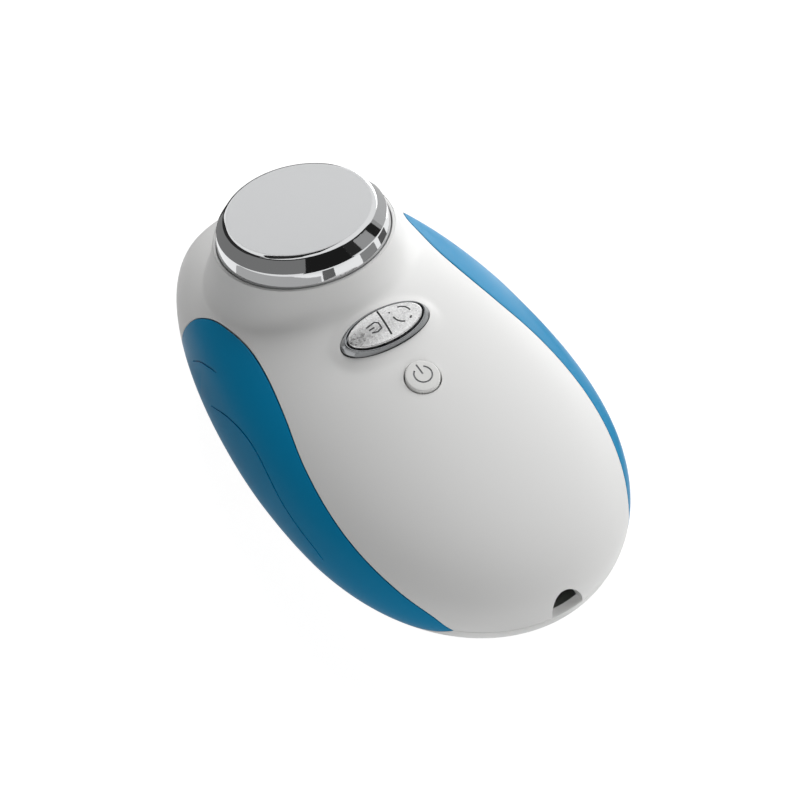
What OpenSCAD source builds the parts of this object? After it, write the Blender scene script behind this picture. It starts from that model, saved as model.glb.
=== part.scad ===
// Hand-held facial toning device: an egg-shaped two-part housing with soft side grips,
// a tilted chrome treatment head, a rocker key, a power key and the working parts inside.
// +X points to the tail with the charging inlet, +Z out of the crown with the keys.
// The flat of the belly lies on z = 0, and x = 0 is the middle of the length.

/* [Housing] */
// Length of the housing, nose to tail
body_length = 140; // [125:1:160]
// Width of the housing
body_width = 82.6; // [76:0.2:92]
// Height of the crown above the parting plane
crown_height = 23.2; // [22.6:0.1:25]
// Depth of the full belly below the parting plane
belly_depth = 20.7; // [20:0.1:24]
// How much the belly is cut flat to rest on
belly_flat = 1.0; // [0.6:0.1:1.4]
// Wall of the housing
wall = 2.2; // [1.8:0.1:2.5]
// Play between two fitted pieces
fit_gap = 0.15; // [0.1:0.01:0.2]

/* [Housing form] */
// Where the housing is widest, from the middle
widest_x = 6.6; // [2:0.2:10]
// Where the crown is highest, from the middle
crown_x = -6.7; // [-10:0.1:-4]
// Where the belly is deepest, from the middle
belly_x = 2; // [-3:0.5:6]
// Fullness of the plan at the nose: first and second power
nose_plan = [1.75, 2.78]; // [1.75:0.01:2.8]
// Fullness of the plan at the tail
tail_plan = [2.44, 2]; // [1.9:0.01:2.6]
// Fullness of the crown at the nose
nose_crown = [2, 1.7]; // [1.7:0.01:2.1]
// Fullness of the crown at the tail
tail_crown = [1.76, 2]; // [1.75:0.01:2.1]
// Fullness of the belly at both ends
belly_curve = [2.16, 2.16]; // [2:0.01:2.4]
// Fullness of the cross section, where 2 is an ellipse
section_power = 2.03; // [1.9:0.01:2.3]

/* [Side grips] */
// Thickness of the soft grip
grip_thick = 1.8; // [1.4:0.1:2]
// Distance of the grip's front end from the nose of the housing
grip_from_nose = 24; // [20:0.5:28]
// Distance of the grip's rear tip from the tail of the housing
grip_from_tail = 9.5; // [8:0.5:16]
// Where the grip is tallest, from the middle
grip_peak_x = -13; // [-18:0.5:-8]
// Height of the grip above the parting plane
grip_top = 17.2; // [14:0.1:17.6]
// Depth of the grip below the parting plane
grip_low = 6; // [4:0.1:8]
// Fullness of the grip outline at its nose
grip_nose_curve = [2, 2]; // [1.8:0.1:2.2]
// Fullness of the grip outline at its tail
grip_tail_curve = [1.2, 1.6]; // [1.1:0.1:1.8]

/* [Treatment head] */
// Distance of the head's seat from the nose of the housing
head_from_nose = 31.5; // [30.5:0.1:32]
// Height of the head seat above the parting plane
seat_height = 23.7; // [23.2:0.1:25]
// Tilt of the head towards the nose
head_tilt = 14.2; // [11:0.1:15]
// Radius of the head at its seat
seat_r = 21.06; // [20.5:0.01:21.4]
// How far the head's rim lies inside its seat
rim_in = 0.56; // [0.3:0.02:1]
// Height of the rim above the seat
rim_h = 3.5; // [3:0.1:4]
// How far the edge of the contact plate lies inside the rim
plate_in = 2.5; // [2:0.1:3.2]
// Height of the contact plate above the seat
plate_h = 6.9; // [6.6:0.1:7.4]
// Width of the housing lip round the head
lip_w = 0.9; // [0.7:0.1:1.2]
// Fall of the neck for each millimetre outwards
neck_slope = 3; // [2:0.25:4]
// How far the neck blends into the crown
neck_blend = 4; // [2:0.5:5]
// Radius of the ultrasonic disc
disc_r = 11.5; // [10:0.1:11.6]
// Thickness of the ultrasonic disc
disc_t = 1.6; // [1.2:0.1:2]

/* [Rocker key] */
// Distance of the rocker behind the head's seat
rocker_from_head = 34.9; // [34.3:0.1:35.5]
// Half length of the bezel, across the housing
bezel_half_l = 11.6; // [11.4:0.1:12]
// Half width of the bezel
bezel_half_w = 5.6; // [5.4:0.1:5.7]
// Height of the bezel above the crown
bezel_h = 1.5; // [1.2:0.1:1.8]
// Lean of the bezel's outer wall, over the ends and over the sides
bezel_lean = [0.8, 0.3]; // [0.2:0.05:0.9]
// Wall of the bezel round the pivot
bezel_wall = 1.35; // [1.2:0.05:1.45]
// Wall of the bezel's rim, beside the face of the rocker
rim_wall = 0.65; // [0.6:0.05:0.8]
// Height of the rocker above the crown
rocker_h = 2.5; // [2.2:0.1:2.8]
// Gap between the rocker and its bezel
rocker_gap = 0.45; // [0.4:0.01:0.5]
// Radius of the steel pivot pin
pivot_r = 0.7; // [0.6:0.05:0.75]
// Distance of the rocker feet from the pivot
foot_y = 6.5; // [6:0.1:6.8]

/* [Power key] */
// Distance of the power key behind the rocker
power_from_rocker = 15.4; // [15:0.1:16]
// Radius of the power key
power_r = 4.6; // [4.2:0.1:4.8]
// Height of the power key above the crown
power_h = 0.7; // [0.4:0.1:0.9]
// Slope of the power key's face towards the tail
power_slope = 7; // [4:0.5:9]
// Travel of the power key
power_travel = 0.7; // [0.5:0.1:0.8]

/* [Charging inlet] */
// Depth of the arched recess, from the tail of the housing
inlet_depth = 8; // [7:0.5:9]
// Radius of the arch over the inlet
arch_r = 4.1; // [3.9:0.1:4.3]
// Height of the middle of the arch above the parting plane
arch_z = 1.2; // [1:0.1:1.4]
// Radius of the socket's bore
socket_r = 1.8; // [1.6:0.05:1.9]
// Depth of the socket's bore
socket_depth = 9; // [7:0.5:10]

/* [Battery and boards] */
// Length of the battery
battery_l = 52; // [44:1:54]
// Width of the battery
battery_w = 31; // [26:0.5:31.5]
// Thickness of the battery
battery_t = 8; // [6.5:0.1:8.2]
// Width of the main board
board_w = 46; // [45.5:0.5:48]
// Thickness of the main board
board_t = 1.6; // [1.4:0.1:1.7]
// Length of the key board
key_board_l = 35; // [34.5:0.5:37]
// Width of the key board
key_board_w = 29; // [28.5:0.5:32]
// Thickness of the key board
key_board_t = 1.2; // [1:0.1:1.3]
// Side of a tactile switch
switch_w = 6; // [5.6:0.1:6.2]
// Height of a tactile switch
switch_h = 3.2; // [3:0.1:3.4]

/* [Screws] */
// Shank radius of a housing screw
screw_r = 1.3; // [1.2:0.05:1.4]
// Shank length of a housing screw
screw_l = 14; // [12:0.5:15]
// Shank radius of a small screw
small_screw_r = 1; // [0.9:0.05:1.05]

/* [Hidden] */

$fn = 64;
eps = 0.01;
over = 1;
through = 30;

ring_points = 72;
crown_rings = 15;
belly_rings = 9;
cavity_points = 48;
cavity_rings = 8;
pole_crowding = 1.25;
grip_steps = 26;
grip_rows = 6;
grip_end = 0.999;
quarter = 90;

half_l = body_length / 2;
half_w = body_width / 2;
split_z = belly_depth - belly_flat;
head_x = head_from_nose - half_l;
rocker_x = head_x + rocker_from_head;
power_x = rocker_x + power_from_rocker;
grip_nose_x = grip_from_nose - half_l;
grip_tail_x = half_l - grip_from_tail;
inlet_x = half_l - inlet_depth;
cavity_top = 0.985;
no_inset = [0, 0, 0];
cavity_inset = [wall, wall + grip_thick, wall];

neck_r = seat_r + lip_w;
rim_r = seat_r - rim_in;
plate_r = rim_r - plate_in;
oval_points = 72;

// Fasteners
pilot_gap = 0.05;
well_gap = 0.2;
small_boss_r = 2.3;
small_head_r = 1.9;
small_head_h = 1.4;
small_screw_l = 5;
pilot_over = 0.5;
small_pilot = small_screw_l + pilot_over;
slot_share = 0.4;
screw_head_r = 2.6;
screw_head_h = 2;
shelf_z = -6.5;
pilot_rest = 0.8;
pilot_top = shelf_z + screw_l + pilot_rest;
top_boss_r = 3.4;
bottom_boss_r = 4.4;
front_boss_from_nose = 14;
front_boss_x = front_boss_from_nose - half_l;
front_boss_y = 12;
rear_boss_from_tail = 24;
rear_boss_x = half_l - rear_boss_from_tail;
rear_boss_y = 19;

// Treatment head, measured from its seat
skirt_depth = 1.65;
gasket_t = 0.85;
ledge_top = skirt_depth + gasket_t;
ledge_t = 2.4;
gasket_ledge = 3.86;
spigot_r = seat_r - gasket_ledge;
spigot_wall = 1.5;
spigot_end = ledge_top + ledge_t - fit_gap;
clamp_ledge = 1.26;
clamp_r = seat_r - clamp_ledge;
clamp_hole_r = 9.5;
clamp_t = 2.2;
clamp_bottom = ledge_top + ledge_t + clamp_t;
ring_pocket = 14;
plate_t = 1.3;
plate_round = 0.9;
rim_round = 0.3;
head_screw_r = 14;
head_screw_count = 3;
head_faces = 96;
round_step = 15;
retainer_r = 11.5;
retainer_wall = 1.5;
retainer_slot = 3.5;
retainer_slot_top = 1.5;

// Rocker, power key and switches
bezel_depth = 2.9;
bezel_bottom = crown_height - bezel_depth;
deck_t = 1.8;
deck_bottom = bezel_bottom - deck_t;
deck_margin = 2;
bezel_foot = 0.3;
bezel_ledge = 0.1;
bezel_round = 0.15;
rocker_skirt = 1;
rocker_bevel = 0.5;
rocker_dish = 0.2;
key_rings = 5;
pivot_depth = 0.9;
pivot_z = crown_height - pivot_depth;
pin_gap = 0.05;
pin_cover = 0.45;
pin_play = 0.05;
hub_w = 4;
hub_wall = 0.75;
hub_trim = 0.1;
rocker_floor = 0.2;
rocker_bottom = pivot_z - pivot_r - rocker_floor;
foot_r = 1.2;
foot_below = 0.8;
foot_bottom = deck_bottom - foot_below;
divider_w = 0.35;
divider_depth = 0.25;
key_gap = 0.3;
foot_gap = 0.65;
foot_play = 0.55;
flange_t = 1;
flange_top = foot_bottom + flange_t;
guide_play = 1.4;
guide_r = power_r + guide_play;
guide_wall = 1.3;
guide_drop = 1.6;
guide_bottom = foot_bottom - guide_drop;
plunger_r = 1.65;
plunger_gap = 0.1;
plunger_out = 1.4;
plunger_hold = 1.6;
plunger_depth = power_travel + plunger_hold;
switch_top = foot_bottom - key_gap - plunger_out;
plunger_bottom = switch_top - plunger_depth + power_travel + key_gap;
leg_place = 0.38;
leg_t = 0.2;
leg_w = 0.7;

// Boards
key_board_top = switch_top - switch_h;
key_board_x = (rocker_x + power_x) / 2;
screw_inset = 3;
key_screw_x = key_board_l / 2 - screw_inset;
key_screw_y = key_board_w / 2 - screw_inset;
front_reach = 26;
boss_clear = 6;
board_front = key_board_x - front_reach;
board_back = rear_boss_x - boss_clear;
board_l = board_back - board_front;
board_x = (board_front + board_back) / 2;
board_top = -1.6;
board_screw_x = board_l / 2 - screw_inset;
board_screw_y = board_w / 2 - screw_inset;
tongue_w = 11.6;
link_pins = 6;
link_pitch = 2.54;
link_pin_w = 0.64;
link_bar = 2.5;
link_y = 9;
core_from_front = 15;
core_x = board_front + core_from_front;
core_y = -11.5;
core_l = 12;
core_w = 13;
core_t = 2.6;
core_h = 9;
chip_clear = 1;
main_chip_x = core_x + core_l + chip_clear;
main_chip_y = 6;
main_chip_l = 10;
main_chip_w = 9;
small_chip_back = 10;
small_chip_x = board_x + small_chip_back;
small_chip_y = 16;
small_chip_l = 7;
small_chip_w = 4;
chip_t = 1.4;
chip_pitch = 1.27;
board_margin = 6;
cap_x = board_back - board_margin;
cap_pitch = 7;
cap_count = 3;
cap_r = 2.8;
cap_h = 8;

// Battery, plugs and leads
battery_ahead = 5;
battery_x = board_x - battery_ahead;
pad_t = 0.8;
battery_gap = 1.2;
battery_bottom = board_top - board_t - battery_gap - battery_t;
rib_x = 16;
rib_t = 2;
rib_w = 22;
fence_gap = 0.5;
fence_h = 2.8;
plug_l = 6;
plug_w = 7;
plug_h = 5.5;
plug_rim = 1;
battery_plug_x = board_back - board_margin;
battery_plug_y = 9;
head_plug_margin = 5;
head_plug_x = board_front + head_plug_margin;
head_lead_behind = 2.5;
head_lead_x = head_x + head_lead_behind;
lead_r = 0.6;
lead_pitch = 3.2;
lead_clear = 1.5;
lead_faces = 24;
bend_r = 2;

// Charging inlet
inlet_block_w = 12;
shelf_l = 11;
shelf_x = inlet_x - shelf_l;
socket_l = 11;
socket_w = 9;
socket_h = 7.6;
inlet_pin_r = 0.6;
inlet_pin_back = 1;
lip_t = 1;
lip_h = 1.3;
lip_root = 2.5;
lip_break = 2;

// ---- Form of the housing, as heights over the plan ----

// A super-elliptic arc: 1 at t = 0 and 0 at t = 1
function egg(t, p, q) = pow(max(1 - pow(abs(t), p), 0), 1 / q);

// Profile along the housing: 1 at its peak and 0 at the two poles
function profile(x, peak, nose, tail) =
    x < peak ? egg((peak - x) / (peak + half_l), nose[0], nose[1])
             : egg((x - peak) / (half_l - peak), tail[0], tail[1]);

// The place on the full housing that belongs to x on a shell set in by inset
function full_x(x, inset) = x * half_l / (half_l - inset[0]);

function width_at(x, inset = no_inset) =
    (half_w - inset[1]) * profile(full_x(x, inset), widest_x, nose_plan, tail_plan);

function crown_at(x, inset = no_inset) =
    (crown_height - inset[2]) * profile(full_x(x, inset), crown_x, nose_crown, tail_crown);

function belly_at(x, inset = no_inset) =
    (belly_depth - inset[2]) * profile(full_x(x, inset), belly_x, belly_curve, belly_curve);

// Height of the cross section at y, as a share of its height in the middle
function section(y, width) = width > eps ? egg(y / width, section_power, section_power) : 0;

function crown_z(x, y, inset = no_inset) = crown_at(x, inset) * section(y, width_at(x, inset));
function belly_z(x, y, inset = no_inset) = -belly_at(x, inset) * section(y, width_at(x, inset));

// Angle of ring point k, with the points drawn together at the nose and the tail
function ring_angle(k, count) =
    let (turn = 4 * k / count, q = floor(turn), part = turn - q)
    quarter * (q + (q % 2 == 0 ? pow(part, pole_crowding) : 1 - pow(1 - part, pole_crowding)));

// Share of the way to the pole that the level ring at height z reaches
function reach(z, height, curve) = pow(max(1 - pow(abs(z) / height, curve[1]), 0), 1 / curve[0]);

// Point of the level ring at height z, above the parting plane or below it
function level_point(angle, z, crown, inset) =
    let (peak = crown ? crown_x : belly_x,
         height = (crown ? crown_height : belly_depth) - inset[2],
         nose = crown ? nose_crown : belly_curve,
         tail = crown ? tail_crown : belly_curve,
         c = cos(angle),
         way = c < 0 ? (half_l + peak) * reach(z, height, nose) : (half_l - peak) * reach(z, height, tail),
         x = (peak + way * c) * (half_l - inset[0]) / half_l,
         here = crown ? crown_at(x, inset) : belly_at(x, inset),
         share = here > abs(z) ? egg(z / here, section_power, section_power) : 0)
    [x, sign(sin(angle)) * width_at(x, inset) * share, z];

function level_ring(z, crown, inset, count) =
    [for (k = [0 : count - 1]) level_point(ring_angle(k, count), z, crown, inset)];

// ---- Neck that carries the treatment head ----

// Height of the head's seat plane over x
function seat_z(x) = seat_height + (x - head_x) * tan(head_tilt);

// The larger of two heights, with a fillet that reaches over k
function smooth_max(a, b, k) = max(a, b) + (k > 0 ? pow(max(k - abs(a - b), 0), 2) / (4 * k) : 0);

// Height of the steep neck wall over a point in plan
function neck_z(x, y) =
    let (along = (x - head_x) / cos(head_tilt),
         away = norm([along, y]),
         lean = cos(head_tilt) + neck_slope * sin(head_tilt) * along / away)
    seat_z(x) - neck_slope * max(away - neck_r, 0) / lean;

function skin_z(x, y) =
    let (crown = crown_z(x, y))
    smooth_max(crown, neck_z(x, y), min(neck_blend, seat_z(x) - crown));

// Point of the neck's top edge
function neck_point(angle) =
    [head_x + neck_r * cos(angle) * cos(head_tilt), neck_r * sin(angle),
     seat_height + neck_r * cos(angle) * sin(head_tilt)];

// Point on the way s from the parting plane up to the neck
function crown_point(angle, s) =
    let (foot = level_point(angle, 0, true, no_inset),
         edge = neck_point(angle),
         share = (1 - cos(2 * quarter * s)) / 2,
         x = foot[0] + (edge[0] - foot[0]) * share,
         y = foot[1] + (edge[1] - foot[1]) * share)
    s == 0 ? foot : s == 1 ? edge : [x, y, skin_z(x, y)];

function crown_ring(s) = [for (k = [0 : ring_points - 1]) crown_point(ring_angle(k, ring_points), s)];

// ---- Solids through rings and grids ----

// A closed solid through a stack of rings, each counter-clockwise from above
module skin(rings) {
    count = len(rings[0]);
    last = len(rings) - 1;
    sides = [for (i = [0 : last - 1], k = [0 : count - 1])
        let (a = i * count + k, b = i * count + (k + 1) % count)
        each [[a, a + count, b + count], [a, b + count, b]]];
    foot = [for (k = [0 : count - 1]) k];
    top = [for (k = [count - 1 : -1 : 0]) last * count + k];
    polyhedron(points = [for (ring = rings) each ring], faces = concat(sides, [foot, top]));
}

// A closed solid between an outer and an inner grid with the same rows and columns
module slab(outer, inner) {
    columns = len(outer[0]);
    rows = len(outer);
    n = rows * columns;
    lid = [for (i = [0 : rows - 2], k = [0 : columns - 2])
        let (a = i * columns + k, b = a + columns)
        each [[a, b + 1, a + 1], [a, b, b + 1]]];
    floor_faces = [for (f = lid) [f[2] + n, f[1] + n, f[0] + n]];
    rim = concat([for (k = [0 : columns - 1]) k],
                 [for (i = [1 : rows - 1]) i * columns + columns - 1],
                 [for (k = [columns - 2 : -1 : 0]) (rows - 1) * columns + k],
                 [for (i = [rows - 2 : -1 : 1]) i * columns]);
    edge = [for (i = [0 : len(rim) - 1])
        let (a = rim[i], b = rim[(i + 1) % len(rim)])
        each [[a, b, b + n], [a, b + n, a + n]]];
    polyhedron(points = [for (grid = [outer, inner], row = grid) each row],
               faces = concat(lid, floor_faces, edge));
}

// ---- Places ----

// Everything is drawn round the parting plane, then lifted onto the flat of the belly
module on_belly() {
    translate([0, 0, split_z]) children();
}

// Frame of the treatment head: z = 0 on its seat, +Z out of the contact plate
module head_frame() {
    translate([head_x, 0, seat_height]) rotate([0, -head_tilt, 0]) children();
}

// A cylinder between two heights
module rod(r, z1, z2) {
    translate([0, 0, z1]) cylinder(r = r, h = z2 - z1);
}

// A tube between two heights
module tube(r_out, r_in, z1, z2) {
    difference() {
        rod(r_out, z1, z2);
        rod(r_in, z1 - over, z2 + over);
    }
}

// A block centred in plan, between two heights
module block(l, w, z1, z2) {
    translate([-l / 2, -w / 2, z1]) cube([l, w, z2 - z1]);
}

// A disc-like plate with an elliptic outline, between two heights
module oval(half_x, half_y, z1, z2) {
    points = [for (k = [0 : oval_points - 1])
        [half_x * cos(k * 4 * quarter / oval_points), half_y * sin(k * 4 * quarter / oval_points)]];
    translate([0, 0, z1]) linear_extrude(z2 - z1) polygon(points);
}

// Copies at the four corners of a rectangle
module at_corners(x1, x2, half_y) {
    for (x = [x1, x2], side = [-1, 1]) translate([x, side * half_y, 0]) children();
}

// ---- Side grips ----

// Place of station i along the grip, crowded towards its nose and its tail
function grip_x(i, grow) =
    let (c = -grip_end * cos(2 * quarter * i / grip_steps),
         way = c < 0 ? grip_peak_x - grip_nose_x : grip_tail_x - grip_peak_x)
    grip_peak_x + c * (way + grow);

// Share of the full grip height at x
function grip_share(x, grow) =
    x < grip_peak_x
    ? egg((grip_peak_x - x) / (grip_peak_x - grip_nose_x + grow), grip_nose_curve[0], grip_nose_curve[1])
    : egg((x - grip_peak_x) / (grip_tail_x - grip_peak_x + grow), grip_tail_curve[0], grip_tail_curve[1]);

// Angle on the cross section at x that lies at height z
function section_angle(x, z) =
    let (height = z > 0 ? crown_at(x) : belly_at(x))
    sign(z) * asin(pow(min(abs(z) / height, 1), section_power / 2));

// Point of the flank at an angle of the cross section, below the surface by depth
function flank_point(x, angle, depth) =
    let (inset = [depth, depth, depth],
         height = angle > 0 ? crown_at(x, inset) : belly_at(x, inset))
    [x, width_at(x, inset) * pow(cos(angle), 2 / section_power),
     sign(angle) * height * pow(abs(sin(angle)), 2 / section_power)];

function grip_grid(depth, grow) =
    [for (i = [0 : grip_steps])
        let (x = grip_x(i, grow),
             share = grip_share(x, grow),
             low = section_angle(x, -(grip_low + grow) * share),
             top = section_angle(x, (grip_top + grow) * share))
        [for (k = [0 : grip_rows]) flank_point(x, low + (top - low) * k / grip_rows, depth)]];

module grip() {
    slab(grip_grid(0, 0), grip_grid(grip_thick, 0));
}

module grip_pocket() {
    slab(grip_grid(-over, fit_gap), grip_grid(grip_thick + fit_gap, fit_gap));
}

module both_sides() {
    children();
    mirror([0, 1, 0]) children();
}

module right_grip() {
    color("steelblue") on_belly() grip();
}

module left_grip() {
    color("steelblue") on_belly() mirror([0, 1, 0]) grip();
}

// ---- Top housing ----

// Cavity of one half of the housing
module cavity(crown) {
    height = (crown ? crown_height : split_z) - wall;
    full = crown ? height * cavity_top : height;
    sign_z = crown ? 1 : -1;
    levels = [for (i = [1 : cavity_rings]) full * sin(quarter * i / cavity_rings)];
    heights = concat([0, lip_h + fit_gap], levels);
    last = len(heights) - 1;
    order = crown ? [0 : last] : [last : -1 : 0];
    skin([for (i = order) level_ring(sign_z * heights[i], crown, cavity_inset, cavity_points)]);
}

// What stays solid inside the top half
module top_keep() {
    at_corners(front_boss_x, front_boss_x, front_boss_y) rod(top_boss_r, 0, crown_height);
    at_corners(rear_boss_x, rear_boss_x, rear_boss_y) rod(top_boss_r, 0, crown_height);
    at_corners(key_board_x - key_screw_x, key_board_x + key_screw_x, key_screw_y)
        rod(small_boss_r, key_board_top, crown_height);
    translate([rocker_x, 0, 0])
        oval(bezel_half_w + deck_margin, bezel_half_l + deck_margin, deck_bottom, crown_height);
    translate([power_x, 0, 0]) rod(guide_r + guide_wall, guide_bottom, crown_height);
    translate([inlet_x, -inlet_block_w / 2, 0]) cube([half_l, inlet_block_w, crown_height]);
}

// Seat, bore and pocket for the treatment head and its clamp ring
module head_bores() {
    head_frame() {
        rod(seat_r + fit_gap, -ledge_top, through);
        rod(spigot_r + fit_gap, -through, through);
        rod(clamp_r + fit_gap, -ring_pocket, -ledge_top - ledge_t);
    }
}

module rocker_cuts() {
    translate([rocker_x, 0, 0]) {
        oval(bezel_half_w + fit_gap, bezel_half_l + fit_gap, bezel_bottom, through);
        for (side = [-1, 1]) translate([0, side * foot_y, 0]) rod(foot_r + foot_play, deck_bottom - over, through);
    }
}

module power_cuts() {
    translate([power_x, 0, 0]) {
        rod(power_r + key_gap, 0, through);
        rod(guide_r, 0, flange_top + key_gap);
    }
}

// Arched way in for the charging plug
module inlet_arch() {
    translate([inlet_x - eps, 0, arch_z]) rotate([0, quarter, 0]) cylinder(r = arch_r, h = through);
    translate([inlet_x - eps, -arch_r, -over]) cube([through, 2 * arch_r, arch_z + over]);
}

module top_pilots() {
    at_corners(front_boss_x, front_boss_x, front_boss_y) rod(screw_r + pilot_gap, -over, pilot_top);
    at_corners(rear_boss_x, rear_boss_x, rear_boss_y) rod(screw_r + pilot_gap, -over, pilot_top);
    at_corners(key_board_x - key_screw_x, key_board_x + key_screw_x, key_screw_y)
        rod(small_screw_r + pilot_gap, key_board_top - over, key_board_top + small_pilot);
}

module top_housing() {
    color("whitesmoke") on_belly() difference() {
        skin([for (i = [0 : crown_rings]) crown_ring(i / crown_rings)]);
        difference() {
            translate([0, 0, -eps]) cavity(true);
            top_keep();
        }
        head_bores();
        both_sides() grip_pocket();
        rocker_cuts();
        power_cuts();
        inlet_arch();
        top_pilots();
    }
}

// ---- Bottom housing ----

// What stays solid inside the bottom half
module bottom_keep() {
    at_corners(front_boss_x, front_boss_x, front_boss_y) rod(bottom_boss_r, -belly_depth, 0);
    at_corners(rear_boss_x, rear_boss_x, rear_boss_y) rod(bottom_boss_r, -belly_depth, 0);
    at_corners(board_x - board_screw_x, board_x + board_screw_x, board_screw_y)
        rod(small_boss_r, -belly_depth, board_top - board_t);
    for (side = [-1, 1]) translate([battery_x + side * rib_x, 0, 0])
        block(rib_t, rib_w, -belly_depth, battery_bottom - pad_t);
    for (side = [-1, 1]) translate([battery_x + side * (battery_l / 2 + fence_gap + rib_t / 2), 0, 0])
        block(rib_t, rib_w, -belly_depth, battery_bottom + fence_h);
    translate([shelf_x, -inlet_block_w / 2, -belly_depth])
        cube([half_l, inlet_block_w, belly_depth + board_top - board_t]);
    translate([inlet_x, -inlet_block_w / 2, -belly_depth])
        cube([half_l, inlet_block_w, belly_depth + over]);
    difference() {
        block(body_length, body_width, -lip_root, over);
        linear_extrude(2 * lip_root, center = true) lip_outline(lip_t + fit_gap);
    }
}

// Outline of the upper cavity at the top of the lip, set in by a further amount
module lip_outline(more) {
    inset = [for (v = cavity_inset) v + more];
    ring = level_ring(lip_h, true, inset, cavity_points);
    polygon([for (p = ring) [p[0], p[1]]]);
}

// Tongue on the bottom half that centres the top half
module lip() {
    difference() {
        translate([0, 0, -eps]) linear_extrude(lip_h) difference() {
            lip_outline(fit_gap);
            lip_outline(lip_t + fit_gap);
        }
        translate([inlet_x - lip_break, -inlet_block_w / 2 - over, -over])
            cube([half_l, inlet_block_w + 2 * over, through]);
    }
}

module bottom_bores() {
    at_corners(front_boss_x, front_boss_x, front_boss_y) screw_well();
    at_corners(rear_boss_x, rear_boss_x, rear_boss_y) screw_well();
    at_corners(board_x - board_screw_x, board_x + board_screw_x, board_screw_y)
        rod(small_screw_r + pilot_gap, board_top - board_t - small_pilot, over);
}

module screw_well() {
    rod(screw_head_r + well_gap, -through, shelf_z);
    rod(screw_r + well_gap, -through, over);
}

module bottom_housing() {
    color("whitesmoke") on_belly() union() {
        difference() {
            skin([for (i = [belly_rings : -1 : 0])
                level_ring(-split_z * sin(quarter * i / belly_rings), false, no_inset, ring_points)]);
            difference() {
                translate([0, 0, eps]) cavity(false);
                bottom_keep();
            }
            both_sides() grip_pocket();
            bottom_bores();
        }
        lip();
    }
}

// ---- Treatment head ----

// Half section of the chrome head, from its axis outwards
module head_section() {
    plate = [for (a = [0 : round_step : quarter - round_step])
        [plate_r - plate_round + plate_round * sin(a), plate_h - plate_round + plate_round * cos(a)]];
    side = [[plate_r, plate_h - plate_round],
            [rim_r - rim_round, rim_h + rim_round],
            [rim_r, rim_h],
            [seat_r, 0],
            [seat_r, -skirt_depth],
            [spigot_r, -skirt_depth],
            [spigot_r, -spigot_end],
            [spigot_r - spigot_wall, -spigot_end],
            [spigot_r - spigot_wall, plate_h - plate_t],
            [0, plate_h - plate_t]];
    polygon(concat([[0, plate_h]], plate, side));
}

module at_head_screws() {
    for (k = [0 : head_screw_count - 1])
        rotate([0, 0, 4 * quarter * (k + 0.5) / head_screw_count]) translate([head_screw_r, 0, 0]) children();
}

module treatment_head() {
    color("silver") on_belly() head_frame() difference() {
        union() {
            rotate_extrude($fn = head_faces) head_section();
            intersection() {
                at_head_screws() rod(small_boss_r, -spigot_end, plate_h - plate_t + eps);
                rod(spigot_r, -spigot_end, plate_h);
            }
        }
        at_head_screws() rod(small_screw_r + pilot_gap, -spigot_end - over, plate_h - plate_t);
    }
}

module head_gasket() {
    color("dimgray") on_belly() head_frame()
        tube(seat_r - fit_gap, spigot_r + fit_gap, -ledge_top, -skirt_depth);
}

module head_clamp_ring() {
    color("gainsboro") on_belly() head_frame() difference() {
        tube(clamp_r, clamp_hole_r, -clamp_bottom, -ledge_top - ledge_t);
        at_head_screws() rod(small_screw_r + well_gap, -through, 0);
    }
}

// Pan-head screw whose head sits under z = 0 and whose shank points up
module screw(r, l, head_r, head_h) {
    difference() {
        union() {
            rod(head_r, -head_h, 0);
            rod(r, -eps, l);
        }
        for (turn = [0, quarter]) rotate([0, 0, turn])
            block(2 * head_r * slot_share, head_h * slot_share, -head_h - over, -head_h * (1 - slot_share));
    }
}

module small_screw() {
    screw(small_screw_r, small_screw_l, small_head_r, small_head_h);
}

module head_screws() {
    color("darkgray") on_belly() head_frame() at_head_screws() translate([0, 0, -clamp_bottom]) small_screw();
}

module ultrasonic_disc() {
    color("goldenrod") on_belly() head_frame() rod(disc_r, plate_h - plate_t - disc_t, plate_h - plate_t);
}

// Cup that holds the disc against the plate, with two slots for its leads
module disc_retainer() {
    color("ivory") on_belly() head_frame() difference() {
        tube(retainer_r, retainer_r - retainer_wall, -ledge_top - ledge_t, plate_h - plate_t - disc_t);
        for (turn = [0, quarter]) rotate([0, 0, turn])
            block(2 * (retainer_r + over), retainer_slot, -ledge_top - ledge_t - over, retainer_slot_top);
    }
}

// ---- Keys ----

// One elliptic ring at a height
function oval_ring(half_x, half_y, z) =
    [for (k = [0 : oval_points - 1])
        let (angle = 4 * quarter * k / oval_points)
        [half_x * cos(angle), half_y * sin(angle), z]];

module rocker_bezel() {
    top = crown_height + bezel_h;
    rim_y = bezel_half_l - bezel_lean[0];
    rim_x = bezel_half_w - bezel_lean[1];
    color("dimgray") on_belly() translate([rocker_x, 0, 0]) difference() {
        skin([oval_ring(bezel_half_w, bezel_half_l, bezel_bottom),
              oval_ring(bezel_half_w, bezel_half_l, crown_height + bezel_foot),
              oval_ring(rim_x, rim_y, top - bezel_round),
              oval_ring(rim_x - bezel_round, rim_y - bezel_round, top)]);
        oval(bezel_half_w - bezel_wall, bezel_half_l - bezel_wall, bezel_bottom - over, through);
        oval(bezel_half_w - rim_wall, bezel_half_l - bezel_wall, crown_height + bezel_ledge, through);
        pivot_bore(bezel_half_w - pin_cover);
    }
}

// Bore for the pivot pin, open to both sides up to half_length
module pivot_bore(half_length) {
    translate([-half_length, 0, pivot_z]) rotate([0, quarter, 0])
        cylinder(r = pivot_r + pin_gap, h = 2 * half_length);
}

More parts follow.
